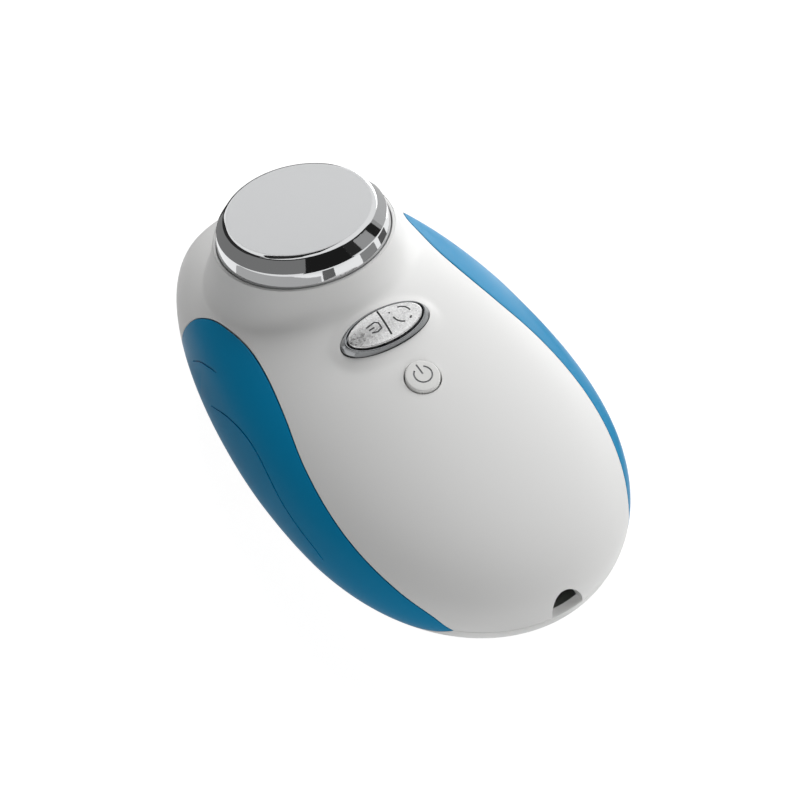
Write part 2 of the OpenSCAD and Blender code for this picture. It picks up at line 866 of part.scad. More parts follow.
// Key with a narrow body in the bezel, a wider face over it and a shallow dish on top
module rocker_key() {
    body_x = bezel_half_w - bezel_wall - rocker_gap;
    face_x = bezel_half_w - rim_wall - rocker_gap;
    half_y = bezel_half_l - bezel_wall - rocker_gap;
    skirt = crown_height + rocker_skirt;
    top = crown_height + rocker_h;
    dish = [for (i = [0 : key_rings - 1])
        let (share = 1 - i / key_rings)
        oval_ring(share * (face_x - rocker_bevel / 2), share * (half_y - rocker_bevel),
                  top - rocker_dish * (1 - share * share))];
    color("lightgray") on_belly() translate([rocker_x, 0, 0]) difference() {
        union() {
            oval(body_x, half_y, rocker_bottom, skirt + eps);
            skin(concat([oval_ring(face_x, half_y, skirt),
                         oval_ring(face_x, half_y, top - rocker_bevel)], dish));
            block(2 * body_x - hub_trim, hub_w, pivot_z - pivot_r - hub_wall, rocker_bottom + eps);
            for (side = [-1, 1]) translate([0, side * foot_y, 0]) rod(foot_r, foot_bottom, rocker_bottom + eps);
        }
        pivot_bore(through);
        block(2 * bezel_half_w, divider_w, top - rocker_dish - divider_depth, top + over);
    }
}

module rocker_pivot_pin() {
    half_length = bezel_half_w - pin_cover - pin_play;
    color("darkgray") on_belly() translate([rocker_x - half_length, 0, pivot_z])
        rotate([0, quarter, 0]) cylinder(r = pivot_r, h = 2 * half_length);
}

module power_key() {
    top = crown_at(power_x) + power_h;
    color("whitesmoke") on_belly() translate([power_x, 0, 0]) difference() {
        union() {
            rod(power_r, flange_top - eps, top + power_r);
            rod(guide_r - key_gap, foot_bottom, flange_top);
        }
        translate([0, 0, top]) rotate([0, power_slope, 0]) block(body_width, body_width, 0, through);
    }
}

// ---- Switches and boards ----

// Tactile switch that stands on the key board, with a bore for its plunger
module tactile_switch(y) {
    color("dimgray") on_belly() translate([y == 0 ? power_x : rocker_x, y, 0]) {
        difference() {
            block(switch_w, switch_w, key_board_top, key_board_top + switch_h);
            rod(plunger_r + plunger_gap, switch_top - plunger_depth, through);
        }
        for (x = [-1, 1], side = [-1, 1])
            translate([x * switch_w * leg_place, side * (switch_w / 2 + leg_t / 2 - eps), 0])
                block(leg_w, leg_t, key_board_top, key_board_top + switch_h / 2);
    }
}

module plunger(y, gap) {
    color("ivory") on_belly() translate([y == 0 ? power_x : rocker_x, y, 0])
        rod(plunger_r, plunger_bottom, foot_bottom - gap);
}

module left_mode_switch() { tactile_switch(-foot_y); }
module right_mode_switch() { tactile_switch(foot_y); }
module power_switch() { tactile_switch(0); }
module left_switch_plunger() { plunger(-foot_y, foot_gap); }
module right_switch_plunger() { plunger(foot_y, foot_gap); }
module power_switch_plunger() { plunger(0, key_gap); }

module key_board() {
    color("darkgreen") on_belly() difference() {
        translate([key_board_x, 0, 0]) block(key_board_l, key_board_w, key_board_top - key_board_t, key_board_top);
        at_corners(key_board_x - key_screw_x, key_board_x + key_screw_x, key_screw_y)
            rod(small_screw_r + well_gap, 0, through);
    }
}

module key_board_screws() {
    color("darkgray") on_belly()
        at_corners(key_board_x - key_screw_x, key_board_x + key_screw_x, key_screw_y)
        translate([0, 0, key_board_top - key_board_t]) small_screw();
}

module main_board() {
    color("darkgreen") on_belly() difference() {
        union() {
            translate([board_x, 0, 0]) block(board_l, board_w, board_top - board_t, board_top);
            translate([board_x, -tongue_w / 2, board_top - board_t])
                cube([inlet_x - fit_gap - board_x, tongue_w, board_t]);
        }
        at_corners(board_x - board_screw_x, board_x + board_screw_x, board_screw_y)
            rod(small_screw_r + well_gap, -belly_depth, over);
    }
}

module board_screws() {
    color("darkgray") on_belly()
        at_corners(board_x - board_screw_x, board_x + board_screw_x, board_screw_y)
        translate([0, 0, board_top]) mirror([0, 0, 1]) small_screw();
}

// Row of pins that joins the two boards
module board_link() {
    top = key_board_top - key_board_t;
    color("black") on_belly() translate([key_board_x, link_y, 0]) {
        block(link_pins * link_pitch, link_pitch, board_top, board_top + link_bar);
        block(link_pins * link_pitch, link_pitch, top - link_bar, top);
        for (k = [0 : link_pins - 1]) translate([(k - (link_pins - 1) / 2) * link_pitch, 0, 0])
            block(link_pin_w, link_pin_w, board_top + eps, top - eps);
    }
}

// A flat chip with a row of legs on each long side
module chip(x, y, l, w) {
    translate([x, y, 0]) {
        block(l, w, board_top + leg_t, board_top + leg_t + chip_t);
        count = floor(l / chip_pitch);
        for (k = [0 : count - 1], side = [-1, 1])
            translate([(k - (count - 1) / 2) * chip_pitch, side * (w + leg_w) / 2, 0])
                block(leg_w, 2 * leg_w, board_top, board_top + leg_t + eps);
    }
}

module control_chips() {
    color("black") on_belly() {
        chip(main_chip_x, -main_chip_y, main_chip_l, main_chip_w);
        for (side = [-1, 1]) chip(small_chip_x, side * small_chip_y, small_chip_l, small_chip_w);
    }
}

// Ferrite transformer that drives the disc: two cheeks, a core leg and a winding
module drive_transformer() {
    color("saddlebrown") on_belly() translate([core_x, core_y, board_top]) {
        for (side = [-1, 1]) translate([0, side * (core_w - core_t) / 2, 0]) block(core_l, core_t, 0, core_h);
        block(core_t, core_w, core_h - core_t, core_h);
        translate([0, core_w / 2 - core_t + eps, core_h / 2]) rotate([quarter, 0, 0])
            cylinder(r = core_h / 2 - core_t / 2, h = core_w - 2 * core_t + 2 * eps);
    }
}

module capacitors() {
    color("navy") on_belly() for (k = [0 : cap_count - 1])
        translate([cap_x, k * cap_pitch, 0]) rod(cap_r, board_top, board_top + cap_h);
}

// ---- Battery, leads and inlet ----

module battery() {
    round_r = battery_t / 4;
    color("silver") on_belly() translate([battery_x, 0, battery_bottom]) union() {
        block(battery_l, battery_w - 2 * round_r, 0, battery_t);
        block(battery_l, battery_w, round_r, battery_t - round_r);
        for (side = [-1, 1], z = [round_r, battery_t - round_r])
            translate([-battery_l / 2, side * (battery_w / 2 - round_r), z])
                rotate([0, quarter, 0]) cylinder(r = round_r, h = battery_l);
    }
}

module battery_pad() {
    color("dimgray") on_belly() translate([battery_x, 0, 0])
        block(battery_l - battery_w / 3, rib_w, battery_bottom - pad_t, battery_bottom);
}

// White plug with its socket on the main board
module plug(x, y) {
    color("ivory") on_belly() translate([x, y, 0]) {
        block(plug_l, plug_w, board_top, board_top + plug_h);
        block(plug_l + plug_rim, plug_w + plug_rim, board_top, board_top + plug_h / 2);
    }
}

module battery_plug() { plug(battery_plug_x, -battery_plug_y); }
module head_plug() { plug(head_plug_x, 0); }

// A quarter bend in the plane of X and Z, from +X up to +Z
module bend() {
    translate([0, 0, bend_r]) rotate([quarter, 0, 0]) rotate([0, 0, -quarter])
        rotate_extrude(angle = quarter) translate([bend_r, 0]) circle(r = lead_r, $fn = lead_faces);
}

// A straight stretch of lead along X
module lead_x(x1, x2, z) {
    translate([x1, 0, z]) rotate([0, quarter, 0]) cylinder(r = lead_r, h = x2 - x1, $fn = lead_faces);
}

// Two leads from the end of the battery, round the edge of the board, to their plug
module battery_leads() {
    start = battery_x + battery_l / 2;
    turn = board_x + board_l / 2 + lead_clear;
    low = battery_bottom + battery_t / 2;
    high = board_top + plug_h * 3 / 4;
    color("firebrick") on_belly() for (side = [-1, 1])
        translate([0, -battery_plug_y + side * lead_pitch / 2, 0]) {
            lead_x(start, turn, low);
            translate([turn, 0, low]) bend();
            translate([turn + bend_r, 0, 0]) cylinder_z(low + bend_r, high - bend_r);
            translate([turn, 0, high]) mirror([0, 0, 1]) bend();
            lead_x(battery_plug_x + plug_l / 2, turn, high);
        }
}

module cylinder_z(z1, z2) {
    translate([0, 0, z1]) cylinder(r = lead_r, h = z2 - z1, $fn = lead_faces);
}

// Two leads from the head plug up to the disc
module head_leads() {
    start = head_plug_x - plug_l / 2;
    low = board_top + plug_h * 3 / 4;
    disc_z = seat_height + (plate_h - plate_t - disc_t) / cos(head_tilt)
           + (head_lead_x - head_x) * tan(head_tilt);
    color("royalblue") on_belly() for (side = [-1, 1]) translate([0, side * lead_pitch / 2, 0]) {
        lead_x(head_lead_x + bend_r, start, low);
        translate([head_lead_x + bend_r, 0, low]) mirror([1, 0, 0]) bend();
        translate([head_lead_x, 0, 0]) cylinder_z(low + bend_r, disc_z - lead_r * sin(head_tilt) - fit_gap);
    }
}

module inlet_socket() {
    color("black") on_belly() difference() {
        translate([inlet_x - fit_gap - socket_l, -socket_w / 2, board_top]) cube([socket_l, socket_w, socket_h]);
        translate([inlet_x - socket_depth, 0, board_top + socket_h / 2]) rotate([0, quarter, 0])
            cylinder(r = socket_r, h = through);
    }
}

module inlet_pin() {
    color("gold") on_belly() translate([inlet_x - socket_depth, 0, board_top + socket_h / 2])
        rotate([0, quarter, 0]) cylinder(r = inlet_pin_r, h = socket_depth - inlet_pin_back);
}

module housing_screws() {
    color("darkgray") on_belly() {
        at_corners(front_boss_x, front_boss_x, front_boss_y) housing_screw();
        at_corners(rear_boss_x, rear_boss_x, rear_boss_y) housing_screw();
    }
}

module housing_screw() {
    translate([0, 0, shelf_z]) screw(screw_r, screw_l, screw_head_r, screw_head_h);
}

top_housing();
bottom_housing();
left_grip();
right_grip();
treatment_head();
head_gasket();
head_clamp_ring();
head_screws();
ultrasonic_disc();
disc_retainer();
rocker_bezel();
rocker_key();
rocker_pivot_pin();
power_key();
left_mode_switch();
right_mode_switch();
power_switch();
left_switch_plunger();
right_switch_plunger();
power_switch_plunger();
key_board();
key_board_screws();
board_link();
main_board();
board_screws();
control_chips();
drive_transformer();
capacitors();
battery();
battery_pad();
battery_plug();
battery_leads();
head_plug();
head_leads();
inlet_socket();
inlet_pin();
housing_screws();
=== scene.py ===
"""Looks of the hand-held facial toning device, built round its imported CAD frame.

Sizes are millimetres about the parting plane until a point is placed; at() lifts them into the frame.
"""

import math

import bpy
from mathutils import Matrix, Vector


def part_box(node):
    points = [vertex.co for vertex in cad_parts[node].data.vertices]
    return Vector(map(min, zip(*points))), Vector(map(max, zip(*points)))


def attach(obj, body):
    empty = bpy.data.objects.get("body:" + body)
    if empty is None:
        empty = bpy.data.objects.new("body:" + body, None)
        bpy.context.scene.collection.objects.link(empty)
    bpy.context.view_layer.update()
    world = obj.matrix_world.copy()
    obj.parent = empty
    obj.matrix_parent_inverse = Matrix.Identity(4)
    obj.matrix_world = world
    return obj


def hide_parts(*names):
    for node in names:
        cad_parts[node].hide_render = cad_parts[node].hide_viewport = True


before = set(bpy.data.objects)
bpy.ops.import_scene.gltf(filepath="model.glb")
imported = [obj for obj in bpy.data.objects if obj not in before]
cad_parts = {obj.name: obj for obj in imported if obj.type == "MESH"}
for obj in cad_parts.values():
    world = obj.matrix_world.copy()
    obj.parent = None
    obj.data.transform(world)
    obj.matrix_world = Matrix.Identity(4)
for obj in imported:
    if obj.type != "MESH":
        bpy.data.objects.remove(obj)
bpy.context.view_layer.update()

MM = 0.001

# ---- Driving sizes, as in the part's source ----

shell_low, shell_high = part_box("top_housing")
half_l = (shell_high.x - shell_low.x) / 2 / MM
half_w = 41.3
split_z = shell_low.z / MM
crown_height = 23.2
belly_depth = 20.7
wall = 2.2
fit_gap = 0.15
widest_x = 6.6
crown_x = -6.7
belly_x = 2
nose_plan = (1.75, 2.78)
tail_plan = (2.44, 2)
nose_crown = (2, 1.7)
tail_crown = (1.76, 2)
belly_curve = (2.16, 2.16)
section_power = 2.03

grip_thick = 1.8
grip_play = 0.05
grip_middle_x = -10
# upper and lower edge of a grip from its nose to its tail, as x and z
grip_upper = ((-42.5, 0), (-42, 5.6), (-39.6, 9.8), (-33.5, 13.4), (-22.5, 16.25), (-11.5, 16.92),
              (0, 15.97), (12, 13.73), (26, 11), (40, 8.05), (48.5, 5.85), (55.6, 3.3), (59.9, 0))
grip_lower = ((-42.5, 0), (-41.8, -2.2), (-39.5, -3.8), (-33.5, -5.1), (-22.5, -5.8), (-11.5, -6),
              (0, -6.1), (12, -6.1), (26, -6), (40, -5.3), (48.5, -4.3), (55.6, -2.6), (59.9, 0))

head_x = 31.5 - half_l
seat_height = 23.7
head_tilt = math.radians(14.2)
seat_r = 21.06
rim_r = 20.5
rim_h = 3.5
plate_r = 18
plate_h = 6.9
lip_w = 0.9
neck_r = seat_r + lip_w
neck_slope = 3
neck_blend = 4
spigot_r = 17.2
spigot_wall = 1.5
skirt_depth = 1.65
ledge_top = 2.5
ledge_bottom = 4.9
plate_t = 1.3
clamp_r = 19.8

rocker_x = head_x + 34.9
bezel_half_l = 11.6
bezel_half_w = 5.6
bezel_h = 1.5
bezel_lean = (0.3, 0.8)
bezel_foot = 0.3
bezel_wall = 1.35
bezel_depth = 2.9
bezel_ledge = 0.1
rim_wall = 0.65
rim_outer_round = 0.2
rim_inner_round = 0.08
mound_h = 0.75
mound_w = 3
rocker_h = 2.5
rocker_gap = 0.45
rocker_crown = 0.4
rocker_bevel = 0.5
rocker_skirt = 1
pivot_z = crown_height - 0.9
pivot_r = 0.7
pivot_wall = 0.2
deck_margin = 2
deck_bottom = crown_height - bezel_depth - 1.8
foot_bottom = deck_bottom - 0.8
foot_y = 6.5
foot_r = 1.2
foot_play = 0.55

power_x = rocker_x + 15.4
power_r = 4.6
key_r = 4.05
key_round = 0.35
key_gap = 0.3
power_h = 0.7
power_slope = math.radians(7)
flange_r = power_r + 1.1
flange_h = 1
guide_r = power_r + 1.4
guide_wall = 1.3
guide_bottom = foot_bottom - 1.6
guide_top = foot_bottom + 1.3

inlet_x = half_l - 8
inlet_block = 6
arch_r = 4.1
arch_z = 1.2

front_boss_x = 14 - half_l
rear_boss_x = half_l - 24
boss_places = [(front_boss_x, -12), (front_boss_x, 12), (rear_boss_x, -19), (rear_boss_x, 19)]
top_boss_r = 3.4
bottom_boss_r = 4.4
screw_r = 1.3
pilot_gap = 0.05
pilot_top = 8.3
shank_gap = 0.2
well_r = 2.8
shelf_z = -6.5

# hairlines that keep joined forms off the parting plane and sunk into each other
seam = 0.02
overlap = 0.01

# ---- Form of the housing ----


def power_arc(t, p, q):
    """A super-elliptic arc: 1 at t = 0 and 0 at t = 1."""
    return max(1 - abs(t) ** p, 0) ** (1 / q)


def profile(x, peak, nose, tail):
    """Profile along the housing: 1 at its peak and 0 at the two poles."""
    if x < peak:
        return power_arc((peak - x) / (peak + half_l), *nose)
    return power_arc((x - peak) / (half_l - peak), *tail)


def full_x(x, inset):
    """The place along the full housing that x stands for on a form set in from its skin."""
    return x * half_l / (half_l - inset[0])


def width_at(x, inset=(0, 0, 0)):
    return (half_w - inset[1]) * profile(full_x(x, inset), widest_x, nose_plan, tail_plan)


def crown_at(x, inset=(0, 0, 0)):
    return (crown_height - inset[2]) * profile(full_x(x, inset), crown_x, nose_crown, tail_crown)


def belly_at(x, inset=(0, 0, 0)):
    return (belly_depth - inset[2]) * profile(full_x(x, inset), belly_x, belly_curve, belly_curve)


def section(y, width):
    """Height of the cross section at y, as a share of its height in the middle."""
    return power_arc(min(abs(y) / width, 1), section_power, section_power) if width > 0.001 else 0


def crown_z(x, y, inset=(0, 0, 0)):
    return crown_at(x, inset) * section(y, width_at(x, inset))


def seat_z(x):
    return seat_height + (x - head_x) * math.tan(head_tilt)


def neck_z(x, y):
    """Height of the steep neck wall over a point in plan."""
    along = (x - head_x) / math.cos(head_tilt)
    away = math.hypot(along, y)
    lean = math.cos(head_tilt) + neck_slope * math.sin(head_tilt) * along / max(away, 0.001)
    return seat_z(x) - neck_slope * max(away - neck_r, 0) / lean


def smooth_max(a, b, k):
    """The higher of two heights, with the crease between them filled over a width k."""
    return max(a, b) + (max(k - abs(a - b), 0) ** 2 / (4 * k) if k > 0 else 0)


def mound(x, y):
    """Height of the low mound that rises to the rocker's bezel."""
    u, v = (x - rocker_x) / bezel_half_w, y / bezel_half_l
    share = math.hypot(u, v)
    if share <= 1:
        return mound_h
    away = min((share - 1) * share / math.hypot(u / bezel_half_w, v / bezel_half_l) / mound_w, 1)
    return mound_h * (1 - away) ** 2 * (1 + 2 * away)


def skin_z(x, y):
    """Height of the upper skin: the crown, the neck that rises out of it and the mound."""
    crown = crown_z(x, y)
    z = smooth_max(crown, neck_z(x, y), min(neck_blend, seat_z(x) - crown))
    return z + mound(x, y)


def level_point(angle, z, crown, inset=(0, 0, 0)):
    """Point of the level ring at height z, above the parting plane or below it."""
    peak = crown_x if crown else belly_x
    height = (crown_height if crown else belly_depth) - inset[2]
    nose, tail = (nose_crown, tail_crown) if crown else (belly_curve, belly_curve)
    curve = nose if math.cos(angle) < 0 else tail
    reach = max(1 - (abs(z) / height) ** curve[1], 0) ** (1 / curve[0])
    way = (half_l + peak if math.cos(angle) < 0 else half_l - peak) * reach
    x = (peak + way * math.cos(angle)) * (half_l - inset[0]) / half_l
    here = crown_at(x, inset) if crown else belly_at(x, inset)
    share = power_arc(abs(z) / here, section_power, section_power) if here > abs(z) else 0
    return x, math.copysign(1, math.sin(angle)) * width_at(x, inset) * share, z


pole_crowding = 1.25


def ring_angle(k, count):
    """Angle of ring point k, with the points drawn together at the nose and the tail."""
    turn = 4 * k / count
    quarter = int(turn)
    part = turn - quarter
    share = part ** pole_crowding if quarter % 2 == 0 else 1 - (1 - part) ** pole_crowding
    return math.pi / 2 * (quarter + share)


def at(x, y, z):
    """A place about the parting plane, in the frame's metres."""
    return Vector((x, y, z + split_z)) * MM


def on_head(r, angle, z):
    """A place on the treatment head: radius, angle and height above its seat."""
    x = r * math.cos(angle)
    return at(head_x + x * math.cos(head_tilt) - z * math.sin(head_tilt), r * math.sin(angle),
              seat_height + x * math.sin(head_tilt) + z * math.cos(head_tilt))


# ---- Hand tools ----


def deselect():
    if bpy.context.object and bpy.context.object.mode == "EDIT":
        bpy.ops.object.mode_set(mode="OBJECT")
    bpy.ops.object.select_all(action="DESELECT")


def pick(piece):
    """Makes the piece the only one selected, and the active one."""
    deselect()
    piece.select_set(True)
    bpy.context.view_layer.objects.active = piece


def just_added(name):
    """The primitive that was added last, under a name of its own."""
    piece = bpy.context.object
    piece.name = name
    return piece


def merge_and_face_out(piece, distance=1e-7):
    pick(piece)
    bpy.ops.object.mode_set(mode="EDIT")
    bpy.ops.mesh.select_all(action="SELECT")
    bpy.ops.mesh.remove_doubles(threshold=distance)
    bpy.ops.mesh.dissolve_degenerate(threshold=distance)
    bpy.ops.mesh.normals_make_consistent(inside=False)
    bpy.ops.object.mode_set(mode="OBJECT")


def loop_form(name, columns, rows, place):
    """A closed skin: a torus whose rings are moved onto place(column, row)."""
    deselect()
    bpy.ops.mesh.primitive_torus_add(major_segments=columns, minor_segments=rows,
                                     major_radius=0.05, minor_radius=0.01)
    piece = just_added(name)
    for i in range(columns):
        for j in range(rows):
            piece.data.vertices[i * rows + j].co = place(i, j)
    merge_and_face_out(piece)
    return piece


def finish_with(piece, kind, **settings):
    """Adds a modifier with its settings and applies it."""
    pick(piece)
    modifier = piece.modifiers.new(kind.lower(), kind)
    for key, value in settings.items():
        setattr(modifier, key, value)
    bpy.ops.object.modifier_apply(modifier=modifier.name)


def cut(piece, cutter, keep=False, solver="MANIFOLD", operation="DIFFERENCE"):
    """Cuts or joins two pieces; only the exact solver leaves the cutter's material on the cut."""
    settings = {"object": cutter, "operation": operation, "solver": solver}
    if solver == "EXACT":
        settings["material_mode"] = "TRANSFER"
    finish_with(piece, "BOOLEAN", **settings)
    if not keep:
        bpy.data.objects.remove(cutter)


def smooth(piece, degrees=32):
    pick(piece)
    bpy.ops.object.shade_smooth_by_angle(angle=math.radians(degrees))


def cylinder(name, radius, low, high, vertices=96):
    """An upright cylinder between two heights, at the origin."""
    deselect()
    bpy.ops.mesh.primitive_cylinder_add(vertices=vertices, radius=radius * MM, depth=(high - low) * MM,
                                        location=(0, 0, (low + high) / 2 * MM))
    piece = just_added(name)
    bpy.ops.object.transform_apply(location=True, rotation=True, scale=True)
    return piece


def move(piece, matrix):
    """Puts a piece drawn at the origin in its place, with the place in its mesh."""
    piece.data.transform(matrix)
    piece.data.update()
    return piece


def ribbon(name, points, width, low, tall):
    """A ribbon along a path in plan, standing on the heights that low(x, y) gives."""
    deselect()
    count = len(points)
    bpy.ops.mesh.primitive_grid_add(x_subdivisions=count - 1, y_subdivisions=1, size=1)
    piece = just_added(name)
    path = [Vector(p) for p in points]
    for k in range(count):
        along = (path[min(k + 1, count - 1)] - path[max(k - 1, 0)]).normalized()
        across = Vector((-along.y, along.x)) * width / 2
        for row, way in ((0, -1), (1, 1)):
            x, y = path[k] + across * way
            piece.data.vertices[row * count + k].co = Vector((x, y, low(x, y))) * MM
    finish_with(piece, "SOLIDIFY", thickness=tall * MM, offset=1.0)
    return piece


def to_place(x, y, z):
    return Matrix.Translation(at(x, y, z))


to_head = to_place(head_x, 0, seat_height) @ Matrix.Rotation(-head_tilt, 4, "Y")
to_rocker = to_place(rocker_x, 0, 0)
to_power = to_place(power_x, 0, 0)

# ---- Materials ----


def linear(code):
    """An sRGB hex value as a linear colour."""
    parts = [int(code[i:i + 2], 16) / 255 for i in (1, 3, 5)]
    return tuple(c / 12.92 if c <= 0.04045 else ((c + 0.055) / 1.055) ** 2.4 for c in parts) + (1,)


def add_node(tree, kind, settings=None, values=None, links=None):
    """Adds a node with its settings, its socket values and its links from other sockets."""
    node = tree.nodes.new(kind)
    for key, value in (settings or {}).items():
        setattr(node, key, value)
    for key, value in (values or {}).items():
        node.inputs[key].default_value = value
    for key, source in (links or {}).items():
        tree.links.new(source, node.inputs[key])
    return node


def new_material(name, values):
    material = bpy.data.materials.new(name)
    material.use_nodes = True
    tree = material.node_tree
    shader = tree.nodes["Principled BSDF"]
    for key, value in values.items():
        shader.inputs[key].default_value = value
    return material, tree, shader


def grain(tree, shader, size, strength, rough=None):
    """Fine surface grain of a real size in millimetres, as bump and, if asked, as a change of gloss."""
    place = add_node(tree, "ShaderNodeTexCoord")
    noise = add_node(tree, "ShaderNodeTexNoise", values={"Scale": 1 / (size * MM), "Detail": 3.0},
                     links={"Vector": place.outputs["Object"]})
    bump = add_node(tree, "ShaderNodeBump", values={"Strength": strength, "Distance": size * MM * 0.2},
                    links={"Height": noise.outputs["Fac"]})
    tree.links.new(bump.outputs["Normal"], shader.inputs["Normal"])
    if rough:
        spread = add_node(tree, "ShaderNodeMapRange", values={"To Min": rough[0], "To Max": rough[1]},
                          links={"Value": noise.outputs["Fac"]})
        tree.links.new(spread.outputs["Result"], shader.inputs["Roughness"])


def dress(piece, material):
    """Gives the whole piece one material, in place of the empty slots that its cuts have left."""
    piece.data.materials.clear()
    piece.data.materials.append(material)


def white_abs():
    """Injection-moulded ABS, spark-eroded to a fine satin: soft wide highlights, no clear reflections."""
    material, tree, shader = new_material("white_satin_abs", {
        "Base Color": linear("#E7E7E6"), "IOR": 1.52, "Roughness": 0.45})
    grain(tree, shader, 0.35, 0.04)
    return material


def white_key_abs():
    """Injection-moulded ABS polished in the tool: a slightly glossier white that shows its edge."""
    material, tree, shader = new_material("white_polished_abs", {
        "Base Color": linear("#E6E6E4"), "IOR": 1.53, "Roughness": 0.25})
    grain(tree, shader, 0.5, 0.03)
    return material


def painted_groove_shade(name, code):
    """Matt grey laid on the floor of an engraved mark as painted shade: it reads as a thin dark line on the
    key's face.
    """
    material, tree, shader = new_material(name, {
        "Base Color": linear(code), "IOR": 1.5, "Roughness": 0.6})
    grain(tree, shader, 0.1, 0.1)
    return material


def blue_elastomer():
    """Overmoulded thermoplastic elastomer: a deep matt blue with a weak broad sheen."""
    material, tree, shader = new_material("blue_soft_elastomer", {
        "Base Color": linear("#0084B4"), "IOR": 1.5, "Roughness": 0.4, "Specular IOR Level": 0.2,
        "Sheen Weight": 0.5, "Sheen Roughness": 0.15, "Sheen Tint": linear("#E2E2EA")})
    grain(tree, shader, 0.3, 0.08)
    return material


def chrome():
    """Decorative chrome plate over a polished cap: a dark and bright mirror."""
    material, tree, shader = new_material("polished_chrome_plate", {
        "Base Color": linear("#D9DADB"), "Metallic": 1.0})
    grain(tree, shader, 3.0, 0.02, rough=(0.03, 0.07))
    return material


def satin_chrome():
    """The same plate over a bead-blasted face: it gathers the light of the room into an even pale grey."""
    material, tree, shader = new_material("satin_chrome_face", {
        "Base Color": linear("#D4D5D6"), "Metallic": 1.0})
    grain(tree, shader, 0.12, 0.1, rough=(0.36, 0.44))
    return material


def dark_chrome():
    """Smoked chrome plate on the bezel: a dark mirror with bright lines where it turns to a lamp."""
    material, tree, shader = new_material("smoked_chrome_plate", {
        "Base Color": linear("#A0A2A4"), "Metallic": 1.0})
    grain(tree, shader, 2.0, 0.02, rough=(0.14, 0.2))
    return material


def flaked_silver():
    """Silver flake lacquer on the rocker: small flakes that catch the light one by one.

    Real flakes are about 0.1 mm, which is too fine to show, so they are drawn coarser.
    """
    flake_size = 0.42
    material, tree, shader = new_material("silver_flake_lacquer", {"Metallic": 1.0})
    place = add_node(tree, "ShaderNodeTexCoord")
    flakes = add_node(tree, "ShaderNodeTexVoronoi", values={"Scale": 1 / (flake_size * MM)},
                      links={"Vector": place.outputs["Object"]})
    tone = add_node(tree, "ShaderNodeMapRange", values={"To Min": 0.62, "To Max": 0.98},
                    links={"Value": flakes.outputs["Color"]})
    paint = add_node(tree, "ShaderNodeCombineColor", links={
        "Red": tone.outputs["Result"], "Green": tone.outputs["Result"], "Blue": tone.outputs["Result"]})
    tree.links.new(paint.outputs["Color"], shader.inputs["Base Color"])
    gloss = add_node(tree, "ShaderNodeMapRange", values={"To Min": 0.24, "To Max": 0.38},
                     links={"Value": flakes.outputs["Color"]})
    tree.links.new(gloss.outputs["Result"], shader.inputs["Roughness"])
    bump = add_node(tree, "ShaderNodeBump", values={"Strength": 0.25, "Distance": 0.02 * MM},
                    links={"Height": flakes.outputs["Distance"]})
    tree.links.new(bump.outputs["Normal"], shader.inputs["Normal"])
    return material


def moulded(name, code, roughness, size=0.4, strength=0.06, metallic=0.0):
    """A plain moulded, plated or coated finish, with a surface grain of a size in millimetres."""
    material, tree, shader = new_material(name, {
        "Base Color": linear(code), "Roughness": roughness, "Metallic": metallic})
    grain(tree, shader, size, strength)
    return material


def circuit_board():
    """Glass-epoxy board under green solder mask, with paler tracks below the mask."""
    material, tree, shader = new_material("green_solder_mask", {"IOR": 1.5, "Roughness": 0.3})
    place = add_node(tree, "ShaderNodeTexCoord")
    tracks = add_node(tree, "ShaderNodeTexBrick", values={
        "Color1": linear("#14552F"), "Color2": linear("#175F35"), "Mortar": linear("#2E8450"),
        "Scale": 1.0, "Mortar Size": 0.2 * MM, "Brick Width": 3.4 * MM, "Row Height": 1.3 * MM},
        links={"Vector": place.outputs["Object"]})
    tree.links.new(tracks.outputs["Color"], shader.inputs["Base Color"])
    return material


def wound_ferrite():
    """Sintered ferrite round a lacquered copper winding: dull dark grey and copper red in fine rings."""
    wire = 0.6
    waves_a_unit = 3
    material, tree, shader = new_material("ferrite_and_copper", {"Roughness": 0.5})
    place = add_node(tree, "ShaderNodeTexCoord")
    turns = add_node(tree, "ShaderNodeTexWave", {"bands_direction": "Y"},
                     {"Scale": 1 / (wire * MM) / waves_a_unit}, {"Vector": place.outputs["Object"]})
    ramp = add_node(tree, "ShaderNodeValToRGB", links={"Fac": turns.outputs["Fac"]})
    ramp.color_ramp.elements[0].color = linear("#5A3A28")
    ramp.color_ramp.elements[1].color = linear("#8A5433")
    tree.links.new(ramp.outputs["Color"], shader.inputs["Base Color"])
    return material


# ---- Housing ----

shell_columns = 256
skin_rows = 84
crown_cavity_rows = 20
flat_rows = 12
belly_rows = 40
belly_cavity_rows = 16
edge_round = 0.28
edge_steps = ((2, 0), (1, 0.05), (0.3, 0.4), (0, 1))
lip_round = 0.28
bore_round = 0.12
cavity_inset = (wall, wall + grip_thick, wall)
cavity_drop = 0.3


def neck_plan(angle):
    """Plan place of the neck's top edge."""
    return head_x + neck_r * math.cos(angle) * math.cos(head_tilt), neck_r * math.sin(angle)


def quarter_turn(steps):
    return [math.pi / 2 * k / steps for k in range(steps + 1)]


def between(a, b, share):
    """The place in plan that lies a share of the way from a to b."""
    return a[0] + (b[0] - a[0]) * share, a[1] + (b[1] - a[1]) * share


def parting_edge(foot, inward, way):
    """Rounded edge from the parting plane onto the flank, above the plane or below it."""
    return [at(foot[0] + inward.x * edge_round * run, foot[1] + inward.y * edge_round * run,
               way * edge_round * rise) for run, rise in edge_steps]


